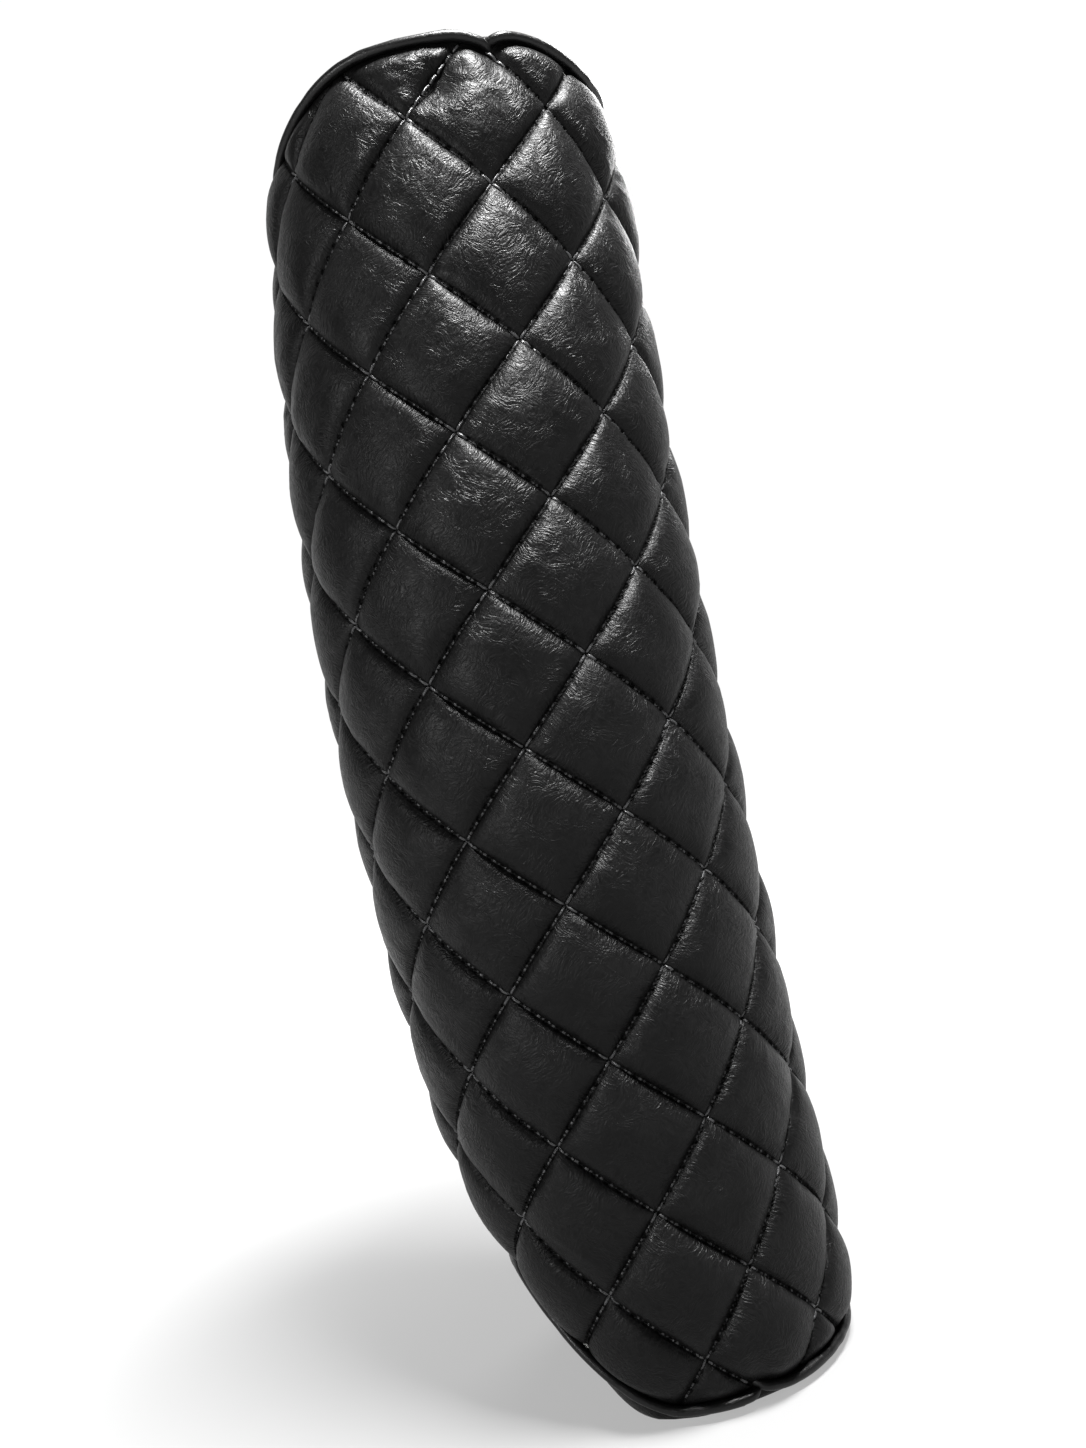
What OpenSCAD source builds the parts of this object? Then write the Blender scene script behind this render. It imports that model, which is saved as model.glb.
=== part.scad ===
// Quilted leather bolster cushion: a zipped cover over a removable stuffed inner.
// It stands on its lower end, with its long axis on +Z and the zip at the back, on +Y.

/* [Body] */
// Height from the resting face to the crown of the upper end
body_h = 500; // [460:5:560]
// Radius of the quilted wall over the straight middle
body_r = 73.5; // [72:0.5:76]
// Radius of the wall where it meets the piping
end_r = 70; // [69:0.5:71]
// Length over which the wall draws in towards each end
shoulder = 40; // [30:1:42]
// Height of the lower piping seam above the resting face
seam_up = 9; // [9:0.5:12]
// How far the upper end panel swells past its seam
crown = 9; // [8:0.5:12]

/* [Layers] */
// Thickness of the outer leather
leather_t = 1.2; // [0.8:0.1:1.4]
// Thickness of the quilt wadding
wadding_t = 5.5; // [4:0.5:5.5]
// Thickness of the quilt's backing cloth
backing_t = 0.5; // [0.3:0.1:0.6]
// Thickness of the inner case's cotton
cotton_t = 0.4; // [0.3:0.1:0.5]
// Clearance between layers
layer_gap = 0.1; // [0.05:0.05:0.2]

/* [Quilting] */
// Diamonds around the body
diamonds = 8; // [6:1:10]
// Half the height of a diamond, along the body
half_row = 27.6; // [26:0.1:30]
// Height of the first crossings of thread above the lower seam
quilt_lift = 14; // [8:1:20]
// Thickness of the quilting thread
thread_t = 0.6; // [0.4:0.1:0.8]

/* [Piping] */
// Radius of the leather-covered piping
piping_r = 2; // [1.8:0.1:2.1]
// Radius of the cord inside the piping
piping_cord_r = 1.3; // [1:0.1:1.4]

/* [Zip] */
// Length of the opening in the wall
zip_slot_l = 400; // [300:10:400]
// Width of the opening in the wall
zip_slot_w = 16; // [15:0.5:17]
// Distance from one tooth to the next on a side
tooth_pitch = 2.6; // [2.4:0.1:3]
// Length of the pull tab below its slot
pull_l = 22; // [15:1:26]

/* [Hidden] */
$fn = 96;

// Heights
seam_low = seam_up;
seam_high = body_h - crown;
mid_z = (seam_low + seam_high) / 2;
wall_stop = 1.7;                       // the wall stops this far short of each piping seam
flange_t = 0.7;                        // piping seam allowance, both plies together
flange_in = 8;                         // how far the allowance reaches in from the wall

// Depths of the layers below the wall's outer surface
wadding_d = leather_t + layer_gap;
backing_d = wadding_d + wadding_t + layer_gap;
cotton_d = backing_d + backing_t + layer_gap;
filling_d = cotton_d + cotton_t + layer_gap;

// End panels
panel_r = end_r - 1.4;                 // edge of the end panels
base_flat_r = 60;                      // flat face the body rests on
base_edge_z = seam_low - 1.2;
pad_flat_r = 61.5;                     // edge of the upper end's wadding
inner_low = seam_low + 0.8;
inner_high = seam_high - 6;
outline_steps = 6;

// Piping
piping_ring_r = end_r + 1.6;
flange_bite = 0.3;                     // the flange ends inside the piping's leather

// Zip, on the plane of the tapes at the back
slot_z0 = mid_z - zip_slot_l / 2;
slot_z1 = mid_z + zip_slot_l / 2;
slot_half = zip_slot_w / 2;
recess_half = 14.5;                    // wadding and backing are cut back this far
recess_over = 8;                       // and this far past the opening's ends
tape_y = body_r - 3.5;                 // inner face of the tapes
tape_t = 0.6;
tape_in = 1.9;
tape_out = 13;
tape_over = 6;
facing_in = 5.2;
facing_y = tape_y + 0.8;
facing_t = 1.2;
tooth_w = 1.15;                        // height of one tooth along the chain
tooth_y = tape_y - 0.5;
tooth_t = 1.6;
tooth_reach = 0.6;                     // past the middle, into the other side
bead_in = 0.9;
bead_out = 1.8;
chain_z0 = slot_z0 + 7;
chain_teeth = floor((zip_slot_l - 13) / tooth_pitch);
chain_z1 = chain_z0 + chain_teeth * tooth_pitch;
stop_h = 2;

// Slider at rest, closed at the top of the chain
slider_l = 11;
slider_z = chain_z1 - 5.5;             // lower end of the slider
slider_gap = 0.4;                      // between its plates and the teeth
plate_t = 1.2;
lower_plate_y = tooth_y - slider_gap - plate_t;
upper_plate_y = tooth_y + tooth_t + slider_gap;
lip_in = 2.4;
lip_gap = 0.3;
slider_half = 4.3;
web_r = 1.1;

// Bail over the slider, and the pull that hangs in it
bail_w = 2;
bail_t = 0.8;
bail_inner_h = 2.8;
bail_z0 = slider_z + 1.6;
bail_l = 7.4;
bail_y = upper_plate_y + plate_t;
pivot_y = bail_y + 1.8;
pivot_z = bail_z0 + bail_t + 1.15;
pivot_r = 0.75;
pull_t = 1.2;
pull_arm_in = 1.4;
pull_arm_out = 3;
pull_arm_l = 8;
pull_half = 3.8;
pull_hole_r = 1.5;

// Radius of the wall's outer surface at height z
function wall_r(z) =
    body_r - (body_r - end_r) * pow(max(0, 1 - min(z - seam_low, seam_high - z) / shoulder), 2);

// Heights of the wall's outline between z0 and z1: both shoulders in steps
function wall_zs(z0, z1) = concat(
    [for (i = [0:outline_steps]) z0 + (seam_low + shoulder - z0) * i / outline_steps],
    [for (i = [0:outline_steps]) z1 - (z1 - seam_high + shoulder) * (outline_steps - i) / outline_steps]);

// Height of the upper end panel's outer surface at radius r, on a sphere through its edge
function crown_z(r) =
    let (rise = body_h - seam_high - 0.9, ball = (panel_r * panel_r + rise * rise) / (2 * rise))
    body_h - ball + sqrt(ball * ball - r * r);

// Height of the lower end panel's outer surface at radius r: flat, then curling up to its seam
function base_z(r) = base_edge_z * pow(max(0, (r - base_flat_r) / (panel_r - base_flat_r)), 1.6);

// One layer of the wall, from depth d0 to depth d1 below its outer surface
module wall_layer(d0, d1, z0, z1) {
    zs = wall_zs(z0, z1);
    n = len(zs) - 1;
    rotate_extrude()
        polygon(concat([for (i = [0:n]) [wall_r(zs[i]) - d0, zs[i]]],
                       [for (i = [0:n]) [wall_r(zs[n - i]) - d1, zs[n - i]]]));
}

// The opening for the zip, cut through the back of the wall
module zip_cut(half_w, over) {
    translate([-half_w, body_r / 2, slot_z0 - over])
        cube([2 * half_w, body_r, zip_slot_l + 2 * over]);
}

module quilted_leather() {
    color([0.03, 0.03, 0.035])
        difference() {
            wall_layer(0, leather_t, seam_low + wall_stop, seam_high - wall_stop);
            zip_cut(slot_half, 0);
        }
}

module quilt_wadding() {
    color([0.92, 0.91, 0.87])
        difference() {
            wall_layer(wadding_d, wadding_d + wadding_t, seam_low + wall_stop, seam_high - wall_stop);
            zip_cut(recess_half, recess_over);
        }
}

module quilt_backing() {
    color([0.12, 0.12, 0.13])
        difference() {
            wall_layer(backing_d, backing_d + backing_t, seam_low + wall_stop, seam_high - wall_stop);
            zip_cut(recess_half, recess_over);
        }
}

// Quilting threads: lines that cross the quilt on a slope, broken at the zip.
// Angles are measured from the zip, at the back, so a line stops at each side of the opening.
half_col = 180 / diamonds;
half_rows = ceil((seam_high - seam_low) / half_row);
thread_step = half_col / 2;
thread_zip_a = 9;                      // threads stop this many degrees from the middle of the zip
thread_lift = 0.5 + body_r * (1 - cos(thread_step / 2));
thread_over = thread_t + 0.1;          // left-hand runs cross over the right-hand ones
thread_end = 5;                        // threads stop this far short of each seam

// Point on a thread at angle a from the zip; hand is +1 or -1
function thread_z(k, hand, a) = seam_low + quilt_lift + half_row * (2 * k + hand * a / half_col);

function thread_ring(k, hand, a, z) =
    let (r = wall_r(z) + thread_lift + (hand < 0 ? thread_over : 0))
    [for (c = [[0, -1], [1, 0], [0, 1], [-1, 0]])
        let (ring = r + c[0] * thread_t / 2)
        [-ring * sin(a), ring * cos(a), z + c[1] * thread_t / 2]];

module thread_run(k, hand) {
    z_lo = seam_low + thread_end;
    z_hi = seam_high - thread_end;
    turn_lo = (z_lo - seam_low - quilt_lift) / half_row - 2 * k;
    turn_hi = (z_hi - seam_low - quilt_lift) / half_row - 2 * k;
    a_lo = max(thread_zip_a, half_col * (hand > 0 ? turn_lo : -turn_hi));
    a_hi = min(360 - thread_zip_a, half_col * (hand > 0 ? turn_hi : -turn_lo));
    steps = ceil((a_hi - a_lo) / thread_step);
    if (a_hi - a_lo > thread_step) {
        rings = [for (i = [0:steps])
            let (a = a_lo + (a_hi - a_lo) * i / steps) thread_ring(k, hand, a, thread_z(k, hand, a))];
        sides = [for (i = [0:steps - 1]) for (j = [0:3])
            let (a = 4 * i + j, b = 4 * i + (j + 1) % 4)
            each [[a, b, b + 4], [a, b + 4, a + 4]]];
        polyhedron(points = [for (ring = rings) each ring],
                   faces = concat([[3, 2, 1, 0]], sides, [[for (j = [0:3]) 4 * steps + j]]));
    }
}

module quilting_thread_right_hand() {
    color([0.05, 0.05, 0.05])
        for (k = [-diamonds:ceil(half_rows / 2)])
            thread_run(k, 1);
}

module quilting_thread_left_hand() {
    color([0.06, 0.06, 0.06])
        for (k = [0:ceil(half_rows / 2) + diamonds])
            thread_run(k, -1);
}

// Radii at which an end panel's outline has its points
function panel_rs(from) = [for (i = [0:outline_steps]) from + (panel_r - from) * i / outline_steps];

module top_end_leather() {
    rs = panel_rs(0);
    n = outline_steps;
    color([0.04, 0.04, 0.045])
        rotate_extrude()
            polygon(concat([for (i = [0:n]) [rs[i], crown_z(rs[i])]],
                           [for (i = [0:n]) [rs[n - i], crown_z(rs[n - i]) - leather_t * (i == 0 ? 0.3 : 1)]]));
}

module top_end_wadding() {
    n = outline_steps;
    color([0.92, 0.91, 0.87])
        rotate_extrude()
            polygon(concat([[0, inner_high + 0.3], [pad_flat_r, inner_high + 0.3]],
                           [for (i = [0:n]) let (r = pad_flat_r * (1 - i / n))
                               [r, crown_z(r) - leather_t - 2 * layer_gap]]));
}

module bottom_end_leather() {
    rs = panel_rs(base_flat_r);
    n = outline_steps;
    inset = leather_t / 2;
    color([0.04, 0.04, 0.045])
        rotate_extrude()
            polygon(concat([[0, 0]],
                           [for (i = [0:n]) [rs[i], base_z(rs[i])]],
                           [for (i = [0:n]) [rs[n - i] - inset - inset * (n - i) / n,
                                             base_z(rs[n - i]) + leather_t * (i / n * 0.6 + 0.4)]],
                           [[0, leather_t]]));
}

module bottom_end_wadding() {
    pad_top = seam_low - flange_t / 2 - 0.5;
    color([0.92, 0.91, 0.87])
        rotate_extrude()
            polygon([[0, leather_t + layer_gap], [base_flat_r - 1, leather_t + layer_gap],
                     [base_flat_r + 3, 4], [base_flat_r + 4.5, pad_top], [0, pad_top]]);
}

// A piping ring at height z: leather wrapped round the cord, and its allowance in the seam
module piping_leather(z) {
    color([0.02, 0.02, 0.022])
        translate([0, 0, z])
            union() {
                rotate_extrude()
                    translate([piping_ring_r, 0])
                        difference() {
                            circle(piping_r, $fn = 32);
                            circle(piping_cord_r + layer_gap / 2, $fn = 32);
                        }
                difference() {
                    translate([0, 0, -flange_t / 2])
                        cylinder(r = piping_ring_r - piping_r + flange_bite, h = flange_t);
                    translate([0, 0, -flange_t])
                        cylinder(r = end_r - flange_in, h = 2 * flange_t);
                }
            }
}

module piping_cord(z) {
    color([0.8, 0.78, 0.72])
        translate([0, 0, z])
            rotate_extrude()
                translate([piping_ring_r, 0])
                    circle(piping_cord_r, $fn = 32);
}

module top_piping_leather() { piping_leather(seam_high); }
module top_piping_cord() { piping_cord(seam_high); }
module bottom_piping_leather() { piping_leather(seam_low); }
module bottom_piping_cord() { piping_cord(seam_low); }

// A strip along the zip, from x0 to x1 on one side: side is -1 or 1
module zip_strip(side, x0, x1, y, thickness, z0, z1) {
    translate([side > 0 ? x0 : -x1, y, z0])
        cube([x1 - x0, thickness, z1 - z0]);
}

module zip_facing(side) {
    color([0.035, 0.035, 0.04])
        zip_strip(side, facing_in, slot_half - layer_gap, facing_y, facing_t,
                  slot_z0 + layer_gap, slot_z1 - layer_gap);
}

module zip_tape(side) {
    color([0.05, 0.05, 0.055])
        zip_strip(side, tape_in, tape_out, tape_y, tape_t, slot_z0 - tape_over, slot_z1 + tape_over);
}

// One side of the chain: a bead along the tape's edge and its teeth, offset by half a pitch
module zip_teeth(side) {
    first = side > 0 ? tooth_pitch / 2 : 0;
    color([0.55, 0.55, 0.57])
        translate([0, tooth_y + tooth_t, 0])
            rotate([90, 0, 0])
                linear_extrude(tooth_t)
                    scale([side, 1])
                        union() {
                            translate([bead_in, chain_z0])
                                square([bead_out - bead_in, chain_z1 - chain_z0]);
                            for (i = [0:chain_teeth - 1])
                                translate([-tooth_reach, chain_z0 + first + i * tooth_pitch])
                                    square([tooth_reach + bead_in + 0.1, tooth_w]);
                        }
}

module zip_facing_left() { zip_facing(-1); }
module zip_facing_right() { zip_facing(1); }
module zip_tape_left() { zip_tape(-1); }
module zip_tape_right() { zip_tape(1); }
module zip_teeth_left() { zip_teeth(-1); }
module zip_teeth_right() { zip_teeth(1); }

module zip_top_stops() {
    color([0.55, 0.55, 0.57])
        for (side = [-1, 1])
            zip_strip(side, bead_in - 0.2, bead_out, tooth_y, tooth_t,
                      slider_z + slider_l + 0.5, slider_z + slider_l + 0.5 + stop_h);
}

module zip_bottom_stop() {
    color([0.55, 0.55, 0.57])
        translate([-bead_out, tooth_y, chain_z0 - stop_h - 0.2])
            cube([2 * bead_out, tooth_t, stop_h]);
}

// Outline of the slider's plates, seen from the back: wider where the chain parts
module slider_outline() {
    polygon([[-3.2, 0], [3.2, 0], [slider_half, 4], [slider_half, 9.4], [3.2, slider_l],
             [-3.2, slider_l], [-slider_half, 9.4], [-slider_half, 4]]);
}

// The slider's outline as a plate from y to y + t
module slider_plate(y, t) {
    translate([0, y + t, slider_z])
        rotate([90, 0, 0])
            linear_extrude(t)
                slider_outline();
}

module slider_lips(y, t) {
    intersection() {
        slider_plate(y, t);
        union()
            for (side = [-1, 1])
                zip_strip(side, lip_in, slider_half, y, t, slider_z, slider_z + slider_l);
    }
}

module bail() {
    translate([-bail_w / 2, bail_y - 0.2, bail_z0])
        difference() {
            cube([bail_w, bail_inner_h + bail_t + 0.2, bail_l]);
            translate([-1, -0.1, bail_t])
                cube([bail_w + 2, bail_inner_h + 0.3, bail_l - 2 * bail_t]);
        }
}

module zip_slider() {
    lip_low = tape_y - lip_gap;
    lip_high = tape_y + tape_t + lip_gap;
    color([0.6, 0.6, 0.62])
        union() {
            slider_plate(lower_plate_y, plate_t);
            slider_plate(upper_plate_y, plate_t);
            slider_lips(lower_plate_y + plate_t / 2, lip_low - lower_plate_y - plate_t / 2);
            slider_lips(lip_high, upper_plate_y + plate_t / 2 - lip_high);
            translate([0, upper_plate_y + plate_t / 2, slider_z + slider_l - web_r - 0.3])
                rotate([90, 0, 0])
                    cylinder(r = web_r, h = upper_plate_y - lower_plate_y, $fn = 32);
            bail();
        }
}

module zip_pull() {
    span = pull_arm_out - pull_arm_in;
    color([0.6, 0.6, 0.62])
        union() {
            translate([-pull_arm_out, pivot_y, pivot_z])
                rotate([0, 90, 0])
                    cylinder(r = pivot_r, h = 2 * pull_arm_out, $fn = 32);
            for (side = [-1, 1])
                translate([side > 0 ? pull_arm_in : -pull_arm_out, pivot_y - pull_t / 2, pivot_z - pull_arm_l])
                    cube([span, pull_t, pull_arm_l]);
            translate([0, pivot_y + pull_t / 2, pivot_z - pull_arm_l + 0.5])
                rotate([90, 0, 0])
                    linear_extrude(pull_t)
                        difference() {
                            union() {
                                translate([-pull_half, pull_half - pull_l])
                                    square([2 * pull_half, pull_l - pull_half]);
                                translate([0, pull_half - pull_l])
                                    circle(pull_half, $fn = 48);
                            }
                            translate([0, pull_half - pull_l])
                                circle(pull_hole_r, $fn = 32);
                        }
        }
}

module inner_case_tube() {
    color([0.9, 0.9, 0.88])
        wall_layer(cotton_d, cotton_d + cotton_t, inner_low + cotton_t, inner_high - cotton_t);
}

// One end disc of the inner case, with its lower face at height z
module inner_case_end(z) {
    color([0.88, 0.88, 0.86])
        translate([0, 0, z])
            cylinder(r = end_r - cotton_d - layer_gap, h = cotton_t - layer_gap);
}

module inner_case_top() { inner_case_end(inner_high - cotton_t + layer_gap); }
module inner_case_bottom() { inner_case_end(inner_low); }

module inner_filling() {
    zs = wall_zs(inner_low + cotton_t, inner_high - cotton_t);
    color([0.96, 0.96, 0.95])
        rotate_extrude()
            polygon(concat([[0, zs[0]]], [for (z = zs) [wall_r(z) - filling_d, z]], [[0, zs[len(zs) - 1]]]));
}

quilted_leather();
quilt_wadding();
quilt_backing();
quilting_thread_right_hand();
quilting_thread_left_hand();
top_end_leather();
top_end_wadding();
bottom_end_leather();
bottom_end_wadding();
top_piping_leather();
top_piping_cord();
bottom_piping_leather();
bottom_piping_cord();
zip_facing_left();
zip_facing_right();
zip_tape_left();
zip_tape_right();
zip_teeth_left();
zip_teeth_right();
zip_top_stops();
zip_bottom_stop();
zip_slider();
zip_pull();
inner_case_tube();
inner_case_top();
inner_case_bottom();
inner_filling();
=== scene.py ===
"""Looks of the quilted leather bolster: quilted wall, piped ends, zip, stuffing and studio."""

import logging
import math
from dataclasses import dataclass
from enum import Enum
from typing import Sequence

import bpy
import numpy as np
from mathutils import Matrix, Vector


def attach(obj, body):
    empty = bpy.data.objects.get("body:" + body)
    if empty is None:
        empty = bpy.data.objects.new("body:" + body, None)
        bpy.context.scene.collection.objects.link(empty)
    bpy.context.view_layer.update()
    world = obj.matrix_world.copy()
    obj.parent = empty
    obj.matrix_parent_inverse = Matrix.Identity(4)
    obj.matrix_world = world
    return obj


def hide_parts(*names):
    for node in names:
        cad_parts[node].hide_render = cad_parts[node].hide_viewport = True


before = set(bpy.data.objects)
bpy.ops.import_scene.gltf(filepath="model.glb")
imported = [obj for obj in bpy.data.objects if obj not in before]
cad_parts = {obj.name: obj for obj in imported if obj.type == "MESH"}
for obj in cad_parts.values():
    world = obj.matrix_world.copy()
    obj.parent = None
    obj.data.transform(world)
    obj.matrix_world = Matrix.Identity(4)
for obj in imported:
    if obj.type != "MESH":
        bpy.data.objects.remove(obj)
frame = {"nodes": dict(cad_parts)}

LOG = logging.getLogger("bolster")
MM = 0.001
BODY = "cushion"
UV_NAME = "quilting"
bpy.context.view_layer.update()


# ---------------------------------------------------------------- small helpers


def smooth_step(low: float, high: float, value: np.ndarray) -> np.ndarray:
    """Rises smoothly from 0 at low to 1 at high."""
    t = np.clip((value - low) / (high - low), 0.0, 1.0)
    return t * t * (3.0 - 2.0 * t)


def swell(value: np.ndarray, power: float) -> np.ndarray:
    """Cross-section of stuffing held at 0: rises steeply, then levels off to 1."""
    return 1.0 - (1.0 - np.clip(value, 0.0, 1.0)) ** power


class SmoothNoise:
    """Seeded value noise on a plane, between -1 and 1."""

    def __init__(self, seed: int, cells: int = 96) -> None:
        """Fills the noise's table.

        Args:
            seed: number that fixes the pattern.
            cells: cells along each side before the pattern repeats.
        """
        self.cells = cells
        self.table = np.random.default_rng(seed).uniform(-1.0, 1.0, (cells, cells))

    def __call__(self, x: np.ndarray, y: np.ndarray) -> np.ndarray:
        """Noise at the points (x, y), one cell per unit.

        Args:
            x: first coordinates, in cells.
            y: second coordinates, in cells.

        Returns:
            The noise at each point.
        """
        x, y = np.broadcast_arrays(np.asarray(x, float), np.asarray(y, float))
        xi = np.floor(x).astype(int)
        yi = np.floor(y).astype(int)
        fx = x - xi
        fy = y - yi
        fx = fx * fx * (3.0 - 2.0 * fx)
        fy = fy * fy * (3.0 - 2.0 * fy)
        n = self.cells
        low = self.table[xi % n, yi % n] * (1 - fx) + self.table[(xi + 1) % n, yi % n] * fx
        high = self.table[xi % n, (yi + 1) % n] * (1 - fx) + self.table[(xi + 1) % n, (yi + 1) % n] * fx
        return low * (1 - fy) + high * fy


def link(name: str, mesh: bpy.types.Mesh) -> bpy.types.Object:
    """Puts a mesh into the scene as an object at the origin."""
    obj = bpy.data.objects.new(name, mesh)
    bpy.context.scene.collection.objects.link(obj)
    return obj


def smoothed(mesh: bpy.types.Mesh) -> bpy.types.Mesh:
    """Gives a mesh smooth shading."""
    mesh.polygons.foreach_set("use_smooth", np.ones(len(mesh.polygons), bool))
    mesh.update()
    return mesh


def add_uv(mesh: bpy.types.Mesh, per_corner: np.ndarray) -> None:
    """Writes the quilting pattern's coordinates, one pair per face corner, as the UV map."""
    layer = mesh.uv_layers.new(name=UV_NAME)
    layer.data.foreach_set("uv", per_corner.astype(np.float32).ravel())


def falls_along_left(uv: np.ndarray, r: np.ndarray, c: np.ndarray) -> np.ndarray:
    """Whether the quilting line nearest to each cell is a left-hand one, which the cell is split along.

    Args:
        uv: pattern coordinates of the lattice.
        r: the cells' rows.
        c: the cells' columns.

    Returns:
        True for each cell whose nearest line is left-hand.
    """
    rows = uv[r, c] * 0.5 + uv[r + 1, c] * 0.5
    step = uv[0, 1] - uv[0, 0]
    off = np.abs(rows + step / 2.0 - np.round(rows + step / 2.0))
    return off[:, 1] < off[:, 0]


def walled(name: str, outer: np.ndarray, inner: np.ndarray, keep: np.ndarray,
           uv: np.ndarray | None = None, uv_turn: Sequence[float] = (0.0, 0.0),
           split: bool = False) -> bpy.types.Mesh:
    """A closed wall that goes all the way round, with the cells that keep leaves out open.

    Args:
        name: the mesh's name.
        outer: outer points; columns run to the right and rows run up, seen from outside.
        inner: inner points, in the same order.
        keep: which cells between the points have wall.
        uv: pattern coordinates of each point, or None.
        uv_turn: what one turn round adds to the pattern coordinates.
        split: whether to cut each cell in two along the quilting, for a coarse layer.

    Returns:
        The closed mesh.
    """
    rows, cols = outer.shape[:2]
    count = rows * cols
    under = keep & ~np.vstack([np.zeros((1, cols), bool), keep[:-1]])
    over = keep & ~np.vstack([keep[1:], np.zeros((1, cols), bool)])
    left = keep & ~np.roll(keep, 1, axis=1)
    right = keep & ~np.roll(keep, -1, axis=1)
    quads, shifts = [], []
    kinds = ((keep, (0, 1, 3, 2), (0, 0, 0, 0)), (keep, (2, 3, 1, 0), (1, 1, 1, 1)),
             (under, (1, 0, 0, 1), (0, 0, 1, 1)), (over, (2, 3, 3, 2), (0, 0, 1, 1)),
             (left, (0, 2, 2, 0), (0, 0, 1, 1)), (right, (3, 1, 1, 3), (0, 0, 1, 1)))
    for mask, corners, sides in kinds:
        r, c = np.nonzero(mask)
        n = (c + 1) % cols
        four = (r * cols + c, r * cols + n, (r + 1) * cols + c, (r + 1) * cols + n)
        turned = (np.zeros(len(c)), (n < c) * 1.0, np.zeros(len(c)), (n < c) * 1.0)
        face = np.stack([four[k] + count * side for k, side in zip(corners, sides)], -1)
        shift = np.stack([turned[k] for k in corners], -1)
        if mask is keep and uv is not None:
            across = falls_along_left(uv, r, c) != (sides[0] == 1)
            face[across] = np.roll(face[across], -1, axis=1)
            shift[across] = np.roll(shift[across], -1, axis=1)
        quads.append(face)
        shifts.append(shift)
    faces = np.concatenate(quads)
    used, index = np.unique(faces, return_inverse=True)
    points = np.concatenate([outer.reshape(-1, 3), inner.reshape(-1, 3)])[used]
    mesh = bpy.data.meshes.new(name)
    index = index.reshape(-1, 4)
    if split:
        index = np.concatenate([index[:, [0, 1, 2]], index[:, [0, 2, 3]]])
    mesh.from_pydata(points.tolist(), [], index.tolist())
    if uv is not None and not split:
        corner = uv.reshape(-1, 2)[faces % count]
        corner = corner + np.concatenate(shifts)[:, :, None] * np.asarray(uv_turn)
        add_uv(mesh, corner)
    return smoothed(mesh)


def closed_skin(name: str, rings: np.ndarray, first: np.ndarray, last: np.ndarray) -> bpy.types.Mesh:
    """A closed body from rings of points that run from one pole to the other.

    Args:
        name: the mesh's name.
        rings: rings by points; rings run up and points run to the right, seen from outside.
        first: the pole below the first ring.
        last: the pole above the last ring.

    Returns:
        The closed mesh.
    """
    rows, cols = rings.shape[:2]
    count = rows * cols
    r, c = (k.ravel() for k in np.meshgrid(np.arange(rows - 1), np.arange(cols), indexing="ij"))
    n = (c + 1) % cols
    quads = np.stack([r * cols + c, r * cols + n, (r + 1) * cols + n, (r + 1) * cols + c], -1)
    c = np.arange(cols)
    n = (c + 1) % cols
    top = (rows - 1) * cols
    low = np.stack([n, c, np.full(cols, count)], -1)
    high = np.stack([top + c, top + n, np.full(cols, count + 1)], -1)
    points = np.concatenate([rings.reshape(-1, 3), np.reshape(first, (1, 3)), np.reshape(last, (1, 3))])
    mesh = bpy.data.meshes.new(name)
    mesh.from_pydata(points.tolist(), [], quads.tolist() + low.tolist() + high.tolist())
    return smoothed(mesh)


def swept(path: np.ndarray, across: np.ndarray, radii: np.ndarray, sides: int, name: str) -> bpy.types.Mesh:
    """A closed round tube along an open path.

    Args:
        path: points along the middle.
        across: a direction across the path at each point.
        radii: the tube's radius at each point.
        sides: points round the tube.
        name: the mesh's name.

    Returns:
        The closed mesh.
    """
    along = np.gradient(path, axis=0)
    along /= np.linalg.norm(along, axis=1, keepdims=True)
    first = across - (across * along).sum(1, keepdims=True) * along
    first /= np.linalg.norm(first, axis=1, keepdims=True)
    second = np.cross(along, first)
    turn = np.linspace(0.0, 2.0 * math.pi, sides, endpoint=False)[None, :, None]
    spokes = np.cos(turn) * first[:, None] + np.sin(turn) * second[:, None]
    rings = path[:, None] + radii[:, None, None] * spokes
    return closed_skin(name, rings, path[0], path[-1])


# ---------------------------------------------------------------- the stuffed form


class End(Enum):
    """The bolster's two ends."""

    BOTTOM = "bottom"
    TOP = "top"


class Hand(Enum):
    """The two families of quilting lines."""

    RIGHT = "right_hand"
    LEFT = "left_hand"


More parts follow.
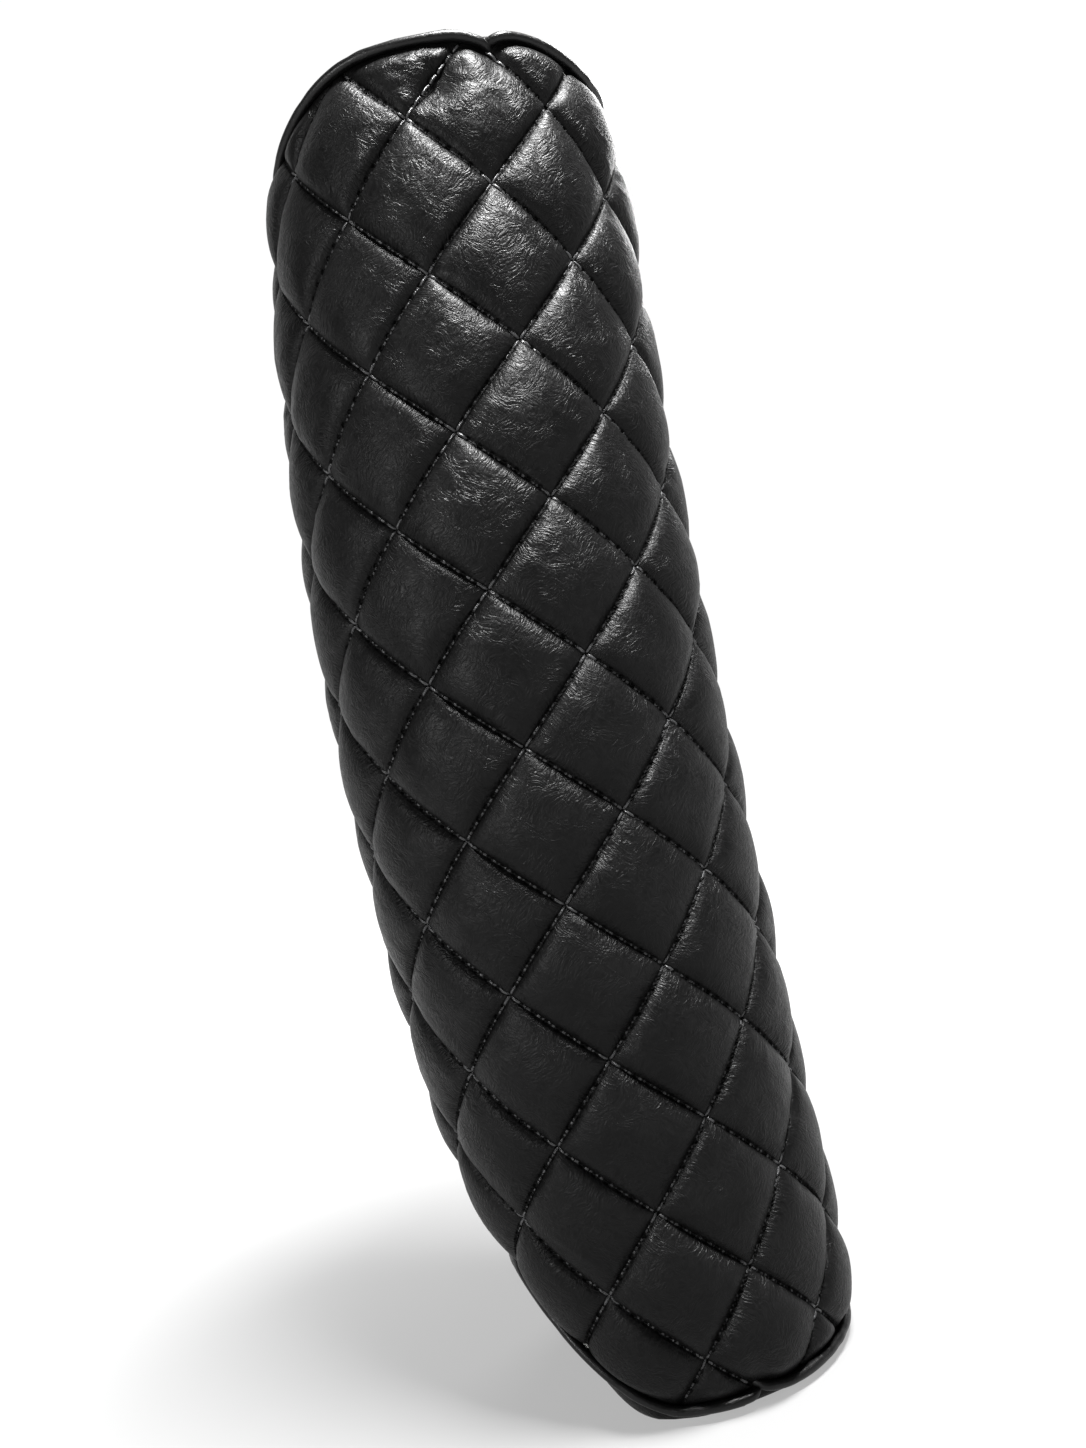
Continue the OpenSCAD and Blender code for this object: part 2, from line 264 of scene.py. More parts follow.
@dataclass(frozen=True)
class BolsterForm:
    """Where the stuffed bolster's skin is, by angle round it from the zip (degrees) and height."""

    low: float = 9.0 * MM
    high: float = 491.0 * MM
    top: float = 500.0 * MM
    middle: float = 268.0 * MM
    half_length: float = 241.0 * MM
    end_r: float = 68.6 * MM
    barrel: float = 8.9 * MM
    back_r: float = 73.5 * MM
    back_end_r: float = 70.0 * MM
    shoulder: float = 40.0 * MM
    lean_ends: float = 5.2 * MM
    lean_middle: float = 13.0 * MM
    curl: float = 3.6 * MM
    turn_deg: float = -3.0
    twist_deg: float = -5.5
    half_col: float = 22.5
    half_row: float = 27.6 * MM
    first_row: float = 23.0 * MM
    spacing: float = 40.3 * MM
    low_lift: float = 45.0 * MM
    high_drop: float = 19.0 * MM
    right_drop: float = 10.0 * MM
    join_deg: float = 201.0
    low_join_deg: float = 197.0
    low_round: float = 3.6 * MM
    low_sag: float = 3.4 * MM
    low_cut: float = 5.0 * MM
    cut_reach: float = 70.0 * MM
    top_round: float = 3.0 * MM
    join_width_deg: float = 7.0
    low_join_rise: float = 1.2 * MM
    join_dip: float = 2.6 * MM
    waver: float = 0.7 * MM
    panel_inset: float = 0.6 * MM
    flat_share: float = 0.94
    flat_least: float = 0.2
    low_bulge: float = 1.2 * MM
    puff: float = 3.2 * MM
    puff_deg: float = 188.0
    curl_reach: float = 9.0 * MM
    round_reach: float = 30.0 * MM

    def front_share(self, a: np.ndarray) -> np.ndarray:
        """How much of the lean and twist an angle gets: none at the zip, all at the sides and front."""
        from_back = 180.0 - np.abs(180.0 - np.mod(a, 360.0))
        return smooth_step(15.0, 70.0, from_back)

    def along(self, z: np.ndarray) -> np.ndarray:
        """Place along the length, from -1 to 1."""
        return (z - self.middle) / self.half_length

    def turned(self, a: np.ndarray, z: np.ndarray) -> np.ndarray:
        """Real angle of a pattern angle, after the twist that stuffing gave it."""
        return a + self.front_share(a) * (self.turn_deg + self.twist_deg * self.along(z))

    def lean(self, a: np.ndarray, z: np.ndarray) -> np.ndarray:
        """Sideways shift of the skin: the middle leans to -X."""
        bow = self.lean_ends - self.lean_middle * (1.0 - self.along(z) ** 2)
        return self.front_share(a) * bow

    def crown(self, a: np.ndarray, z: np.ndarray) -> np.ndarray:
        """Radius at the tops of the quilted pillows.

        Args:
            a: angles from the zip, in degrees.
            z: heights.

        Returns:
            The radii.
        """
        front = self.end_r + self.barrel * (1.0 - self.along(z) ** 2)
        to_seam = np.minimum(z - self.low, self.high - z)
        back = self.back_end_r + (self.back_r - self.back_end_r) * smooth_step(0.0, self.shoulder, to_seam)
        above = smooth_step(0.0, self.cut_reach, z - self.low_lift)
        cut = self.low_cut * self.side_share(a, 20.0, 80.0) * (1.0 - above)
        share = self.front_share(a)
        return front * share + back * (1.0 - share) - cut

    def side_share(self, a: np.ndarray, start: float, full: float) -> np.ndarray:
        """Rises from 0 at start to 1 at full on the -X side, and falls again towards the back."""
        left = 180.0 - np.mod(a, 360.0)
        return smooth_step(start, full, left) * (1.0 - smooth_step(112.0, 160.0, left))

    def seam(self, end: End, a: np.ndarray) -> np.ndarray:
        """Height of the piped seam, which the stuffing pulls out of level on the -X side.

        Args:
            end: which end.
            a: angles from the zip, in degrees.

        Returns:
            The seam's heights.
        """
        a = np.asarray(a, float)
        join_deg = self.low_join_deg if end is End.BOTTOM else self.join_deg
        join = np.exp(-((np.mod(a, 360.0) - join_deg) / self.join_width_deg) ** 2)
        waver = self.waver * np.sin(np.radians(a * 3.0 + 20.0)) * self.front_share(a)
        if end is End.BOTTOM:
            level = self.low - self.low_sag * self.front_share(a) + self.low_join_rise * join + waver * 0.4
            return level + self.low_lift * self.side_share(a, 8.0, 75.0)
        right = self.right_drop * self.side_share(-a, 24.0, 75.0)
        left = self.high_drop * self.side_share(a, 18.0, 95.0)
        return self.high - left - right - self.join_dip * join + waver

    def between_seams(self, a: np.ndarray, z: np.ndarray, keep: float = 0.03) -> np.ndarray:
        """Presses what lies past a seam into a narrow strip under the piping.

        Args:
            a: angles from the zip, in degrees.
            z: heights before pressing.
            keep: share of the distance past a seam that stays.

        Returns:
            The pressed heights.
        """
        low = self.seam(End.BOTTOM, a)
        high = self.seam(End.TOP, a)
        z = np.where(z < low, low + keep * (z - low), z)
        return np.where(z > high, high + keep * (z - high), z)

    def to_seam(self, a: np.ndarray, z: np.ndarray) -> np.ndarray:
        """Distance to the nearer piped seam."""
        return np.minimum(z - self.seam(End.BOTTOM, a), self.seam(End.TOP, a) - z)

    def seam_radius(self, end: End, a: np.ndarray) -> np.ndarray:
        """Radius of the skin at a piped seam."""
        rounding = self.top_round if end is End.TOP else self.low_round
        return self.crown(a, self.seam(end, a)) - self.curl - rounding

    def wall(self, a: np.ndarray, z: np.ndarray, depth: np.ndarray) -> np.ndarray:
        """Point of the wall.

        Args:
            a: real angle from the zip.
            z: height.
            depth: how far below the pillows' tops.

        Returns:
            The points, in metres.
        """
        a, z, depth = np.broadcast_arrays(a, z, depth)
        near = 1.0 - np.clip(self.to_seam(a, z) / self.curl_reach, 0.0, 1.0)
        round_low = 1.0 - np.clip((z - self.seam(End.BOTTOM, a)) / self.round_reach, 0.0, 1.0)
        round_top = 1.0 - np.clip((self.seam(End.TOP, a) - z) / self.round_reach, 0.0, 1.0)
        curl = self.curl * near ** 2
        rounding = self.top_round * round_top ** 2
        r = self.crown(a, z) - depth * (1.0 - 0.75 * near ** 2) - curl - rounding
        r = r - self.low_round * round_low ** 2
        turn = np.radians(a)
        return np.stack([self.lean(a, z) - np.sin(turn) * r, np.cos(turn) * r, z], -1)

    def end(self, end: End, a: np.ndarray, rho: np.ndarray, depth: float) -> np.ndarray:
        """Point of an end panel.

        Args:
            end: which end.
            a: real angle from the zip.
            rho: 0 at the middle of the panel, 1 at its seam.
            depth: how far inside the panel's outer face.

        Returns:
            The points, in metres.
        """
        a, rho = np.broadcast_arrays(np.asarray(a, float), np.asarray(rho, float))
        seam = self.seam(end, a)
        edge = self.seam_radius(end, a) - self.panel_inset - depth
        turn = np.radians(a)
        x = self.lean(a, seam) * rho ** 2 + self.lean_ends * (1.0 - rho ** 2) - np.sin(turn) * rho * edge
        y = np.cos(turn) * rho * edge
        if end is End.BOTTOM:
            share = np.clip((seam - self.low) / self.low_lift, 0.0, 1.0)
            flat = np.clip(self.flat_share - 0.68 * share, self.flat_least, self.flat_share)
            past_flat = np.clip((rho - flat) / (1.0 - flat), 0.0, 1.0)
            rise = past_flat ** (2.0 - 0.5 * share)
            bulge = self.low_bulge * np.sin(math.pi * past_flat) * share
            z = seam * rise - bulge * (rise > 0.0) + depth
            return np.stack([x, y, np.maximum(z, depth)], -1)
        from_puff = np.mod(a, 360.0) - self.puff_deg
        puff = self.puff * np.exp(-(from_puff / 26.0) ** 2) * np.exp(-((rho - 0.86) / 0.13) ** 2)
        z = seam + (self.top - seam) * (1.0 - rho ** 5) + puff - depth
        return np.stack([x, y, z], -1)

    def middle_of(self, end: End, depth: float) -> np.ndarray:
        """Middle point of an end panel, at a depth."""
        return self.end(end, np.array([180.0]), np.array([0.0]), depth)


@dataclass(frozen=True)
class Quilting:
    """The diamond quilting's relief."""

    form: BolsterForm
    rise: float = 4.6 * MM
    steep_share: float = 0.46
    steep_reach: float = 2.2 * MM
    swell_power: float = 2.3
    groove: float = 0.7 * MM
    groove_half: float = 1.0 * MM
    seam_reach: float = 8.0 * MM
    fold: float = 0.35 * MM
    crease: float = 0.3 * MM
    pull: float = 0.42 * MM
    pull_reach: float = 4.5 * MM
    crumple: float = 0.62 * MM
    dent: float = 3.9 * MM
    dent_deg: float = 183.0
    dent_z: float = 473.0 * MM
    tuck: float = 2.4 * MM
    tuck_half: float = 5.0 * MM

    def pattern(self, a: np.ndarray, z: np.ndarray) -> tuple[np.ndarray, np.ndarray]:
        """Pattern coordinates: right-hand lines at whole first numbers, left-hand at whole second ones."""
        u = a / self.form.half_col
        v = (z - self.form.first_row) / self.form.half_row
        return (v - u) / 2.0, (v + u) / 2.0

    def profile(self, off: np.ndarray) -> np.ndarray:
        """Height of a pillow, 0 on a line to 1 at its middle, by distance from the line in metres."""
        broad = swell(off / (self.form.spacing / 2.0), self.swell_power)
        steep = 1.0 - np.exp(-off / self.steep_reach)
        return (1.0 - self.steep_share) * broad + self.steep_share * steep

    def depth(self, a: np.ndarray, z: np.ndarray, real_z: np.ndarray, fine: bool = True) -> np.ndarray:
        """How far the leather lies below the pillows' tops.

        Args:
            a: pattern angle.
            z: pattern height.
            real_z: height between the seams.
            fine: whether to add folds and dents.

        Returns:
            The depth in metres.
        """
        p, q = self.pattern(a, z)
        real_a = self.form.turned(a, real_z)
        off_p = np.abs(p - np.round(p)) * self.form.spacing
        off_q = np.abs(q - np.round(q)) * self.form.spacing
        plump = 1.0 + 0.13 * SmoothNoise(11)(np.floor(p) + 40.0, np.floor(q) + 40.0)
        height = self.rise * plump * self.profile(off_p) * self.profile(off_q)
        seam = np.clip(self.form.to_seam(real_a, real_z) / self.seam_reach, 0.0, 1.0)
        height *= swell(seam, 2.0)
        from_zip = 180.0 - np.abs(180.0 - np.mod(a, 360.0))
        beside_zip = swell((from_zip - 7.5) / 11.0, 2.0)
        height *= beside_zip
        nicks = [np.exp(-(off / self.groove_half) ** 2) for off in (off_p, off_q)]
        groove = self.groove * (nicks[0] + nicks[1])
        if fine:
            folds = self.folds(p, q, off_p, off_q, real_a, real_z)
            height += folds * np.minimum(seam * 3.0, 1.0) * beside_zip
        flat_share = 1.0 - beside_zip
        return (self.rise - height) * (1.0 - 0.65 * flat_share) + groove * (1.0 - flat_share)

    def folds(self, p: np.ndarray, q: np.ndarray, off_p: np.ndarray, off_q: np.ndarray,
              a: np.ndarray, z: np.ndarray) -> np.ndarray:
        """Puckers along the stitching, soft folds over the pillows and the dent below the top seam.

        Args:
            p: pattern coordinate across the right-hand lines.
            q: pattern coordinate across the left-hand lines.
            off_p: distance from the nearest right-hand line.
            off_q: distance from the nearest left-hand line.
            a: real angles from the zip.
            z: real heights.

        Returns:
            The added height, which is negative in a dent.
        """
        tight = self.form.spacing / (4.4 * MM)
        broad = SmoothNoise(21)(p * 2.6, q * 2.6) * self.fold
        ridge = 1.0 - np.abs(SmoothNoise(22)(p * 4.1 + 3.0, q * 4.1)) * 2.0
        patchy = 0.5 + 0.5 * SmoothNoise(23)(p * 0.9, q * 0.9)
        crease = np.clip(ridge, 0.0, 1.0) ** 3 * self.crease * patchy
        pull_p = SmoothNoise(24)(p * 3.0, q * tight) * np.exp(-off_p / self.pull_reach)
        pull_q = SmoothNoise(25)(p * tight, q * 3.0) * np.exp(-off_q / self.pull_reach)
        on_line = (1.0 - np.exp(-off_p / (0.8 * MM))) * (1.0 - np.exp(-off_q / (0.8 * MM)))
        across = np.radians(a - self.dent_deg) * self.form.crown(a, z)
        up = z - self.dent_z
        dent = self.dent * np.exp(-(across / (8.5 * MM)) ** 2 - (up / (8.0 * MM)) ** 2)
        ripple = SmoothNoise(26)(across / (4.4 * MM) + 40.0, (up + 0.35 * across) / (2.7 * MM) + 40.0)
        fading = np.exp(-(across / (26.0 * MM)) ** 2 - (up / (18.0 * MM)) ** 2)
        crumple = self.crumple * ripple * fading
        join_deg = np.where(z > self.form.middle, self.form.join_deg, self.form.low_join_deg)
        join = np.radians(a - join_deg) * self.form.crown(a, z)
        to_top = self.form.seam(End.TOP, a) - z
        to_low = z - self.form.seam(End.BOTTOM, a)
        past_seam = np.exp(-to_top / (12.0 * MM)) + np.exp(-to_low / (10.0 * MM))
        tuck = self.tuck * np.exp(-(join / self.tuck_half) ** 2) * past_seam
        pulls = self.pull * (pull_p + pull_q)
        return (broad + crease + pulls + crumple) * on_line - dent - tuck


# ---------------------------------------------------------------- finishes


class NodeBench:
    """Short calls that add and join shader nodes in one material."""

    def __init__(self, name: str) -> None:
        """Starts a new material that holds only its output and a Principled shader.

        Args:
            name: the material's name.
        """
        self.material = bpy.data.materials.new(name)
        self.material.use_nodes = True
        self.tree = self.material.node_tree
        self.tree.nodes.clear()
        self.shader = self.add("ShaderNodeBsdfPrincipled")
        output = self.add("ShaderNodeOutputMaterial")
        self.join(self.shader.outputs["BSDF"], output.inputs["Surface"])

    def add(self, kind: str) -> bpy.types.Node:
        """Adds a node."""
        return self.tree.nodes.new(kind)

    def join(self, source: bpy.types.NodeSocket, target: bpy.types.NodeSocket) -> None:
        """Links two sockets."""
        self.tree.links.new(source, target)

    def feed(self, target: bpy.types.NodeSocket, value: object) -> None:
        """Links a socket, or sets a plain value, into an input.

        Args:
            target: the input.
            value: a socket, or a constant.
        """
        if isinstance(value, bpy.types.NodeSocket):
            self.join(value, target)
        else:
            target.default_value = value

    def math(self, operation: str, first: object, second: object = 0.0,
             clamp: bool = False) -> bpy.types.NodeSocket:
        """A Math node's result.

        Args:
            operation: Blender's name for the operation.
            first: first value.
            second: second value.
            clamp: whether to hold the result between 0 and 1.

        Returns:
            The result.
        """
        node = self.add("ShaderNodeMath")
        node.operation = operation
        node.use_clamp = clamp
        self.feed(node.inputs[0], first)
        self.feed(node.inputs[1], second)
        return node.outputs[0]

    def times(self, first: object, second: object) -> bpy.types.NodeSocket:
        """A product."""
        return self.math("MULTIPLY", first, second)

    def plus(self, first: object, second: object, clamp: bool = False) -> bpy.types.NodeSocket:
        """A sum."""
        return self.math("ADD", first, second, clamp)

    def less(self, first: object, second: object, clamp: bool = False) -> bpy.types.NodeSocket:
        """A difference."""
        return self.math("SUBTRACT", first, second, clamp)

    def vector(self, x: object, y: object, z: object = 0.0) -> bpy.types.NodeSocket:
        """A vector from three values.

        Args:
            x: first value.
            y: second value.
            z: third value.

        Returns:
            The vector.
        """
        node = self.add("ShaderNodeCombineXYZ")
        for socket, value in zip(node.inputs, (x, y, z)):
            self.feed(socket, value)
        return node.outputs[0]

    def ramp(self, value: object, low: float, high: float, start: float = 0.0, end: float = 1.0,
             smooth: bool = True) -> bpy.types.NodeSocket:
        """Maps low…high to start…end, held at the ends.

        Args:
            value: what to map.
            low: value that gives start.
            high: value that gives end.
            start: result at low.
            end: result at high.
            smooth: whether the ramp eases in and out.

        Returns:
            The mapped value.
        """
        node = self.add("ShaderNodeMapRange")
        node.interpolation_type = "SMOOTHSTEP" if smooth else "LINEAR"
        for socket, number in zip(node.inputs[:5], (value, low, high, start, end)):
            self.feed(socket, number)
        return node.outputs[0]

    def noise(self, coords: object, scale: float, detail: float = 2.0, rough: float = 0.5,
              warp: float = 0.0) -> bpy.types.NodeSocket:
        """A Noise texture's value.

        Args:
            coords: where to read it.
            scale: cells in one unit.
            detail: finer layers.
            rough: strength of the finer layers.
            warp: how far it bends its own coordinates.

        Returns:
            The noise, about 0 to 1.
        """
        node = self.add("ShaderNodeTexNoise")
        self.feed(node.inputs["Vector"], coords)
        node.inputs["Scale"].default_value = scale
        node.inputs["Detail"].default_value = detail
        node.inputs["Roughness"].default_value = rough
        node.inputs["Distortion"].default_value = warp
        return node.outputs[0]

    def lines(self, value: object, power: float) -> bpy.types.NodeSocket:
        """Thin meandering lines where a noise crosses its middle value."""
        away = self.math("ABSOLUTE", self.less(value, 0.5))
        near = self.less(1.0, self.times(away, 2.0), True)
        return self.math("POWER", near, power)

    def mix(self, share: object, first: object, second: object) -> bpy.types.NodeSocket:
        """Between two values by a share.

        Args:
            share: how much of the second.
            first: value at 0.
            second: value at 1.

        Returns:
            The mixed value.
        """
        node = self.add("ShaderNodeMix")
        node.data_type = "FLOAT"
        self.feed(node.inputs[0], share)
        self.feed(node.inputs[2], first)
        self.feed(node.inputs[3], second)
        return node.outputs[0]

    def shade(self, share: object, dark: Sequence[float], light: Sequence[float]) -> bpy.types.NodeSocket:
        """Between two colours by a share.

        Args:
            share: how much of the light colour.
            dark: colour at 0.
            light: colour at 1.

        Returns:
            The colour.
        """
        node = self.add("ShaderNodeMix")
        node.data_type = "RGBA"
        self.feed(node.inputs[0], share)
        node.inputs[6].default_value = (*dark, 1.0)
        node.inputs[7].default_value = (*light, 1.0)
        return node.outputs[2]

    def relief(self, height: object) -> None:
        """Bumps the shader by a height in metres.

        Args:
            height: the relief.
        """
        node = self.add("ShaderNodeBump")
        node.inputs["Strength"].default_value = 1.0
        node.inputs["Distance"].default_value = 1.0
        self.feed(node.inputs["Height"], height)
        self.join(node.outputs[0], self.shader.inputs["Normal"])

    def object_coords(self) -> bpy.types.NodeSocket:
        """Object coordinates, in metres."""
        return self.add("ShaderNodeTexCoord").outputs["Object"]


@dataclass(frozen=True)
class LeatherFinish:
    """Black nappa: crinkled grain that runs across the stitching near it."""

    name: str
    dark: float = 0.0006
    light: float = 0.0038
    roughness: float = 0.33
    specular: float = 0.1
    grain: float = 0.16 * MM
    follows_quilting: bool = False
    spacing: float = 40.3 * MM
    stitches: int = 8
    crinkle_scale: float = 330.0
    fine_scale: float = 760.0
    pore_scale: float = 2600.0
    patch_scale: float = 60.0
    broad_scale: float = 26.0
    needle_crease: float = 2.0
    needle_hole: float = 3.2

    def build(self) -> bpy.types.Material:
        """Makes the material.

        Returns:
            The material.
        """
        bench = NodeBench(self.name)
        place = bench.object_coords()
        crinkle = bench.lines(bench.noise(place, self.crinkle_scale, 3.0, 0.6, 0.9), 7.0)
        fine = bench.lines(bench.noise(place, self.fine_scale, 2.0, 0.55, 0.6), 5.0)
        pores = bench.noise(place, self.pore_scale, 1.0)
        broad = bench.noise(place, self.broad_scale, 2.0)
        patchy = bench.ramp(bench.noise(place, self.patch_scale, 2.0), 0.35, 0.62)
        height = bench.plus(bench.times(crinkle, -0.9), bench.times(fine, -0.55))
        height = bench.times(height, bench.mix(patchy, 0.45, 1.15))
        height = bench.plus(height, bench.times(pores, 0.2))
        groove = 0.0
        lines = bench.times(bench.math("MAXIMUM", crinkle, fine), bench.mix(patchy, 0.4, 1.0))
        if self.follows_quilting:
            height, groove, lines = self.along_seams(bench, bench.times(height, 0.3))
        bench.relief(bench.times(height, self.grain))
        # Base colour: random mottling from the broad noise, lightened along the crease lines as a painted
        # highlight on their edges.
        mottle_and_crease_highlight = bench.plus(bench.times(broad, 0.3), bench.times(lines, 0.62))
        # Darker near the stitching and in the needle holes: painted shade in the grooves.
        tone = bench.less(mottle_and_crease_highlight, bench.times(groove, 1.0), True)
        dark = (self.dark, self.dark, self.dark * 1.02)
        light = (self.light, self.light * 0.99, self.light)
        bench.join(bench.shade(tone, dark, light), bench.shader.inputs["Base Color"])
        gloss = bench.plus(bench.mix(broad, self.roughness - 0.05, self.roughness + 0.07),
                           bench.times(crinkle, 0.12))
        gloss = bench.plus(gloss, bench.times(groove, 0.2))
        bench.join(gloss, bench.shader.inputs["Roughness"])
        bench.shader.inputs["Specular IOR Level"].default_value = self.specular
        return bench.material

    def along_seams(self, bench: NodeBench, height: object) -> tuple[object, object, object]:
        """Adds creases that run across the stitching, and the needle's sharp crease.

        Args:
            bench: the material's nodes.
            height: relief so far, in grains.

        Returns:
            The relief, how near the stitching a point is, and the creases' lines.
        """
        uv = bench.add("ShaderNodeUVMap")
        uv.uv_map = UV_NAME
        split = bench.add("ShaderNodeSeparateXYZ")
        bench.join(uv.outputs[0], split.inputs[0])
        reach = self.spacing / MM
        grooves = []
        place = bench.vector(bench.times(split.outputs[0], reach),
                             bench.times(split.outputs[1], reach))
        drift = [bench.times(bench.noise(place, scale, 1.0), 9.0) for scale in (0.075, 0.093)]
        sides = []
        creases = []
        u, v = split.outputs[:2]
        for own, other, shift in ((u, v, drift), (v, u, drift[::-1])):
            off = bench.times(bench.math("PINGPONG", own, 0.5), reach)
            sides.append(bench.ramp(off, 0.5, 9.0, 0.7, 0.0))
            along = bench.plus(bench.times(own, reach), shift[0])
            across = bench.plus(bench.times(other, reach), shift[1])
            wide = bench.vector(bench.times(along, 0.2), bench.times(across, 0.5))
            tight = bench.vector(bench.times(along, 0.36), bench.times(across, 0.95), 7.0)
            large = bench.lines(bench.noise(wide, 1.0, 1.5, 0.5, 0.5), 5.0)
            small = bench.lines(bench.noise(tight, 1.0, 1.5, 0.5, 0.4), 4.0)
            both = bench.plus(large, bench.times(small, 0.75))
            creases.append(both)
            sharp = bench.ramp(off, 0.0, 1.3, 1.0, 0.0)
            to_hole = bench.math("PINGPONG", bench.times(other, float(self.stitches)), 0.5)
            hole = bench.times(bench.ramp(to_hole, 0.08, 0.2, 1.0, 0.0),
                               bench.ramp(off, 0.3, 1.0, 1.0, 0.0))
            height = bench.less(height, bench.times(sharp, self.needle_crease))
            height = bench.less(height, bench.times(hole, self.needle_hole))
            # How near the needle's crease and holes a point is; build darkens the base colour by it as
            # painted shade.
            grooves.append(bench.math("MAXIMUM", bench.times(sharp, 0.6), hole))
        lean = bench.ramp(bench.noise(place, 0.085, 1.0), 0.4, 0.6, 0.15, 0.85)
        lean = bench.plus(bench.less(lean, sides[0]), sides[1], True)
        strength = bench.ramp(bench.noise(place, 0.05, 1.0), 0.3, 0.65, 0.6, 1.15)
        grain = bench.times(bench.mix(lean, creases[0], creases[1]), strength)
        height = bench.less(height, grain)
        # The creases' lines go back to build, which lightens the base colour along them as a painted
        # highlight.
        return height, bench.math("MAXIMUM", grooves[0], grooves[1]), grain


@dataclass(frozen=True)
class ClothFinish:
    """Woven or matted cloth: tapes, wadding, cotton and cord."""

    name: str
    colour: tuple[float, float, float]
    weave: float = 0.6 * MM
    depth: float = 0.1 * MM
    fluffy: bool = False
    roughness: float = 0.85

    def build(self) -> bpy.types.Material:
        """Makes the material.

        Returns:
            The material.
        """
        bench = NodeBench(self.name)
        place = bench.object_coords()
        dark = tuple(c * 0.72 for c in self.colour)
        if self.fluffy:
            tone = bench.noise(place, 0.6 / self.weave, 5.0, 0.7, 1.2)
        else:
            split = bench.add("ShaderNodeSeparateXYZ")
            bench.join(place, split.inputs[0])
            turns = 2.0 * math.pi / self.weave
            round_it = bench.plus(split.outputs[0], split.outputs[1])
            warp = bench.math("SINE", bench.times(round_it, turns))
            weft = bench.math("SINE", bench.times(split.outputs[2], turns))
            tone = bench.ramp(bench.times(warp, weft), -1.0, 1.0)
        bench.join(bench.shade(tone, dark, self.colour), bench.shader.inputs["Base Color"])
        bench.relief(bench.times(tone, self.depth))
        vary = 0.06
        rough = bench.ramp(bench.noise(place, 300.0), 0.2, 0.8, self.roughness - vary,
                           self.roughness + vary)
        bench.join(rough, bench.shader.inputs["Roughness"])
        bench.shader.inputs["Sheen Weight"].default_value = 0.25
        return bench.material


@dataclass(frozen=True)
class ThreadFinish:
    """Waxed sewing thread with the twist of its plies."""

    name: str
    colour: tuple[float, float, float] = (0.03, 0.03, 0.031)

    def build(self) -> bpy.types.Material:
        """Makes the material.

        Returns:
            The material.
        """
        bench = NodeBench(self.name)
        place = bench.object_coords()
        split = bench.add("ShaderNodeSeparateXYZ")
        bench.join(place, split.inputs[0])
        slant = bench.plus(bench.plus(split.outputs[0], split.outputs[1]), split.outputs[2])
        plies = bench.math("SINE", bench.times(slant, 7500.0))
        fuzz = bench.noise(place, 1400.0, 2.0)
        tone = bench.plus(bench.ramp(plies, -1.0, 1.0, 0.0, 0.5), bench.times(fuzz, 0.5))
        dark = tuple(c * 0.35 for c in self.colour)
        light = tuple(c * 1.9 for c in self.colour)
        bench.join(bench.shade(tone, dark, light), bench.shader.inputs["Base Color"])
        bench.relief(bench.times(plies, 0.06 * MM))
        bench.join(bench.ramp(fuzz, 0.3, 0.7, 0.3, 0.45), bench.shader.inputs["Roughness"])
        return bench.material


@dataclass(frozen=True)
class MetalFinish:
    """Gunmetal zip parts: tumbled, with fine scratches and wear."""

    name: str
    colour: tuple[float, float, float] = (0.16, 0.16, 0.17)
    roughness: float = 0.3

    def build(self) -> bpy.types.Material:
        """Makes the material.

        Returns:
            The material.
        """
        bench = NodeBench(self.name)
        place = bench.object_coords()
        wear = bench.noise(place, 900.0, 3.0, 0.6)
        scratch = bench.lines(bench.noise(place, 420.0, 1.0, 0.5, 3.0), 24.0)
        dark = tuple(c * 0.75 for c in self.colour)
        light = tuple(c * 1.35 for c in self.colour)
        bench.join(bench.shade(wear, dark, light), bench.shader.inputs["Base Color"])
        bench.relief(bench.times(scratch, -0.006 * MM))
        bench.join(bench.ramp(wear, 0.25, 0.75, self.roughness - 0.07, self.roughness + 0.12),
                   bench.shader.inputs["Roughness"])
        bench.shader.inputs["Metallic"].default_value = 1.0
        return bench.material


@dataclass
class Finishes:
    """All the bolster's finishes."""

    quilted: bpy.types.Material
    panel: bpy.types.Material
    piping: bpy.types.Material
    thread: bpy.types.Material
    metal: bpy.types.Material
    tape: bpy.types.Material
    wadding: bpy.types.Material
    lining: bpy.types.Material
    cotton: bpy.types.Material
    cord: bpy.types.Material
    fibre: bpy.types.Material

    @classmethod
    def make(cls) -> "Finishes":
        """Makes every material once.

        Returns:
            The finishes.
        """
        return cls(
            quilted=LeatherFinish("black_quilted_leather", follows_quilting=True).build(),
            panel=LeatherFinish("black_panel_leather", roughness=0.4).build(),
            piping=LeatherFinish("black_piping_leather", roughness=0.3, specular=0.22,
                                 grain=0.05 * MM).build(),
            thread=ThreadFinish("black_waxed_thread").build(),
            metal=MetalFinish("gunmetal").build(),
            tape=ClothFinish("black_zip_tape", (0.016, 0.016, 0.017)).build(),
            wadding=ClothFinish("white_wadding", (0.72, 0.72, 0.7), 3.0 * MM, 0.5 * MM, True).build(),
            lining=ClothFinish("black_lining", (0.03, 0.03, 0.032), 0.5 * MM).build(),
            cotton=ClothFinish("natural_cotton", (0.68, 0.64, 0.55), 0.7 * MM).build(),
            cord=ClothFinish("cotton_cord", (0.6, 0.57, 0.5), 0.9 * MM, 0.2 * MM).build(),
            fibre=ClothFinish("fibre_filling", (0.78, 0.78, 0.76), 5.0 * MM, 0.8 * MM, True).build())


# ---------------------------------------------------------------- the cover


def settle(obj: bpy.types.Object, material: bpy.types.Material, slot: str, *nodes: str,
           body: str = BODY) -> bpy.types.Object:
    """Dresses a finished piece, puts it on its body and lets it stand for its CAD nodes.

    Args:
        obj: the finished piece.
        material: its finish.
        slot: the CAD part's material slot; not used.
        nodes: CAD nodes it stands for.
        body: the body it moves with.

    Returns:
        The same piece.
    """
    obj.data.materials.clear()
    obj.data.materials.append(material)
    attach(obj, body)
    if nodes:
        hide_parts(*nodes)
    LOG.info("%s: %d faces", obj.name, len(obj.data.polygons))
    return obj


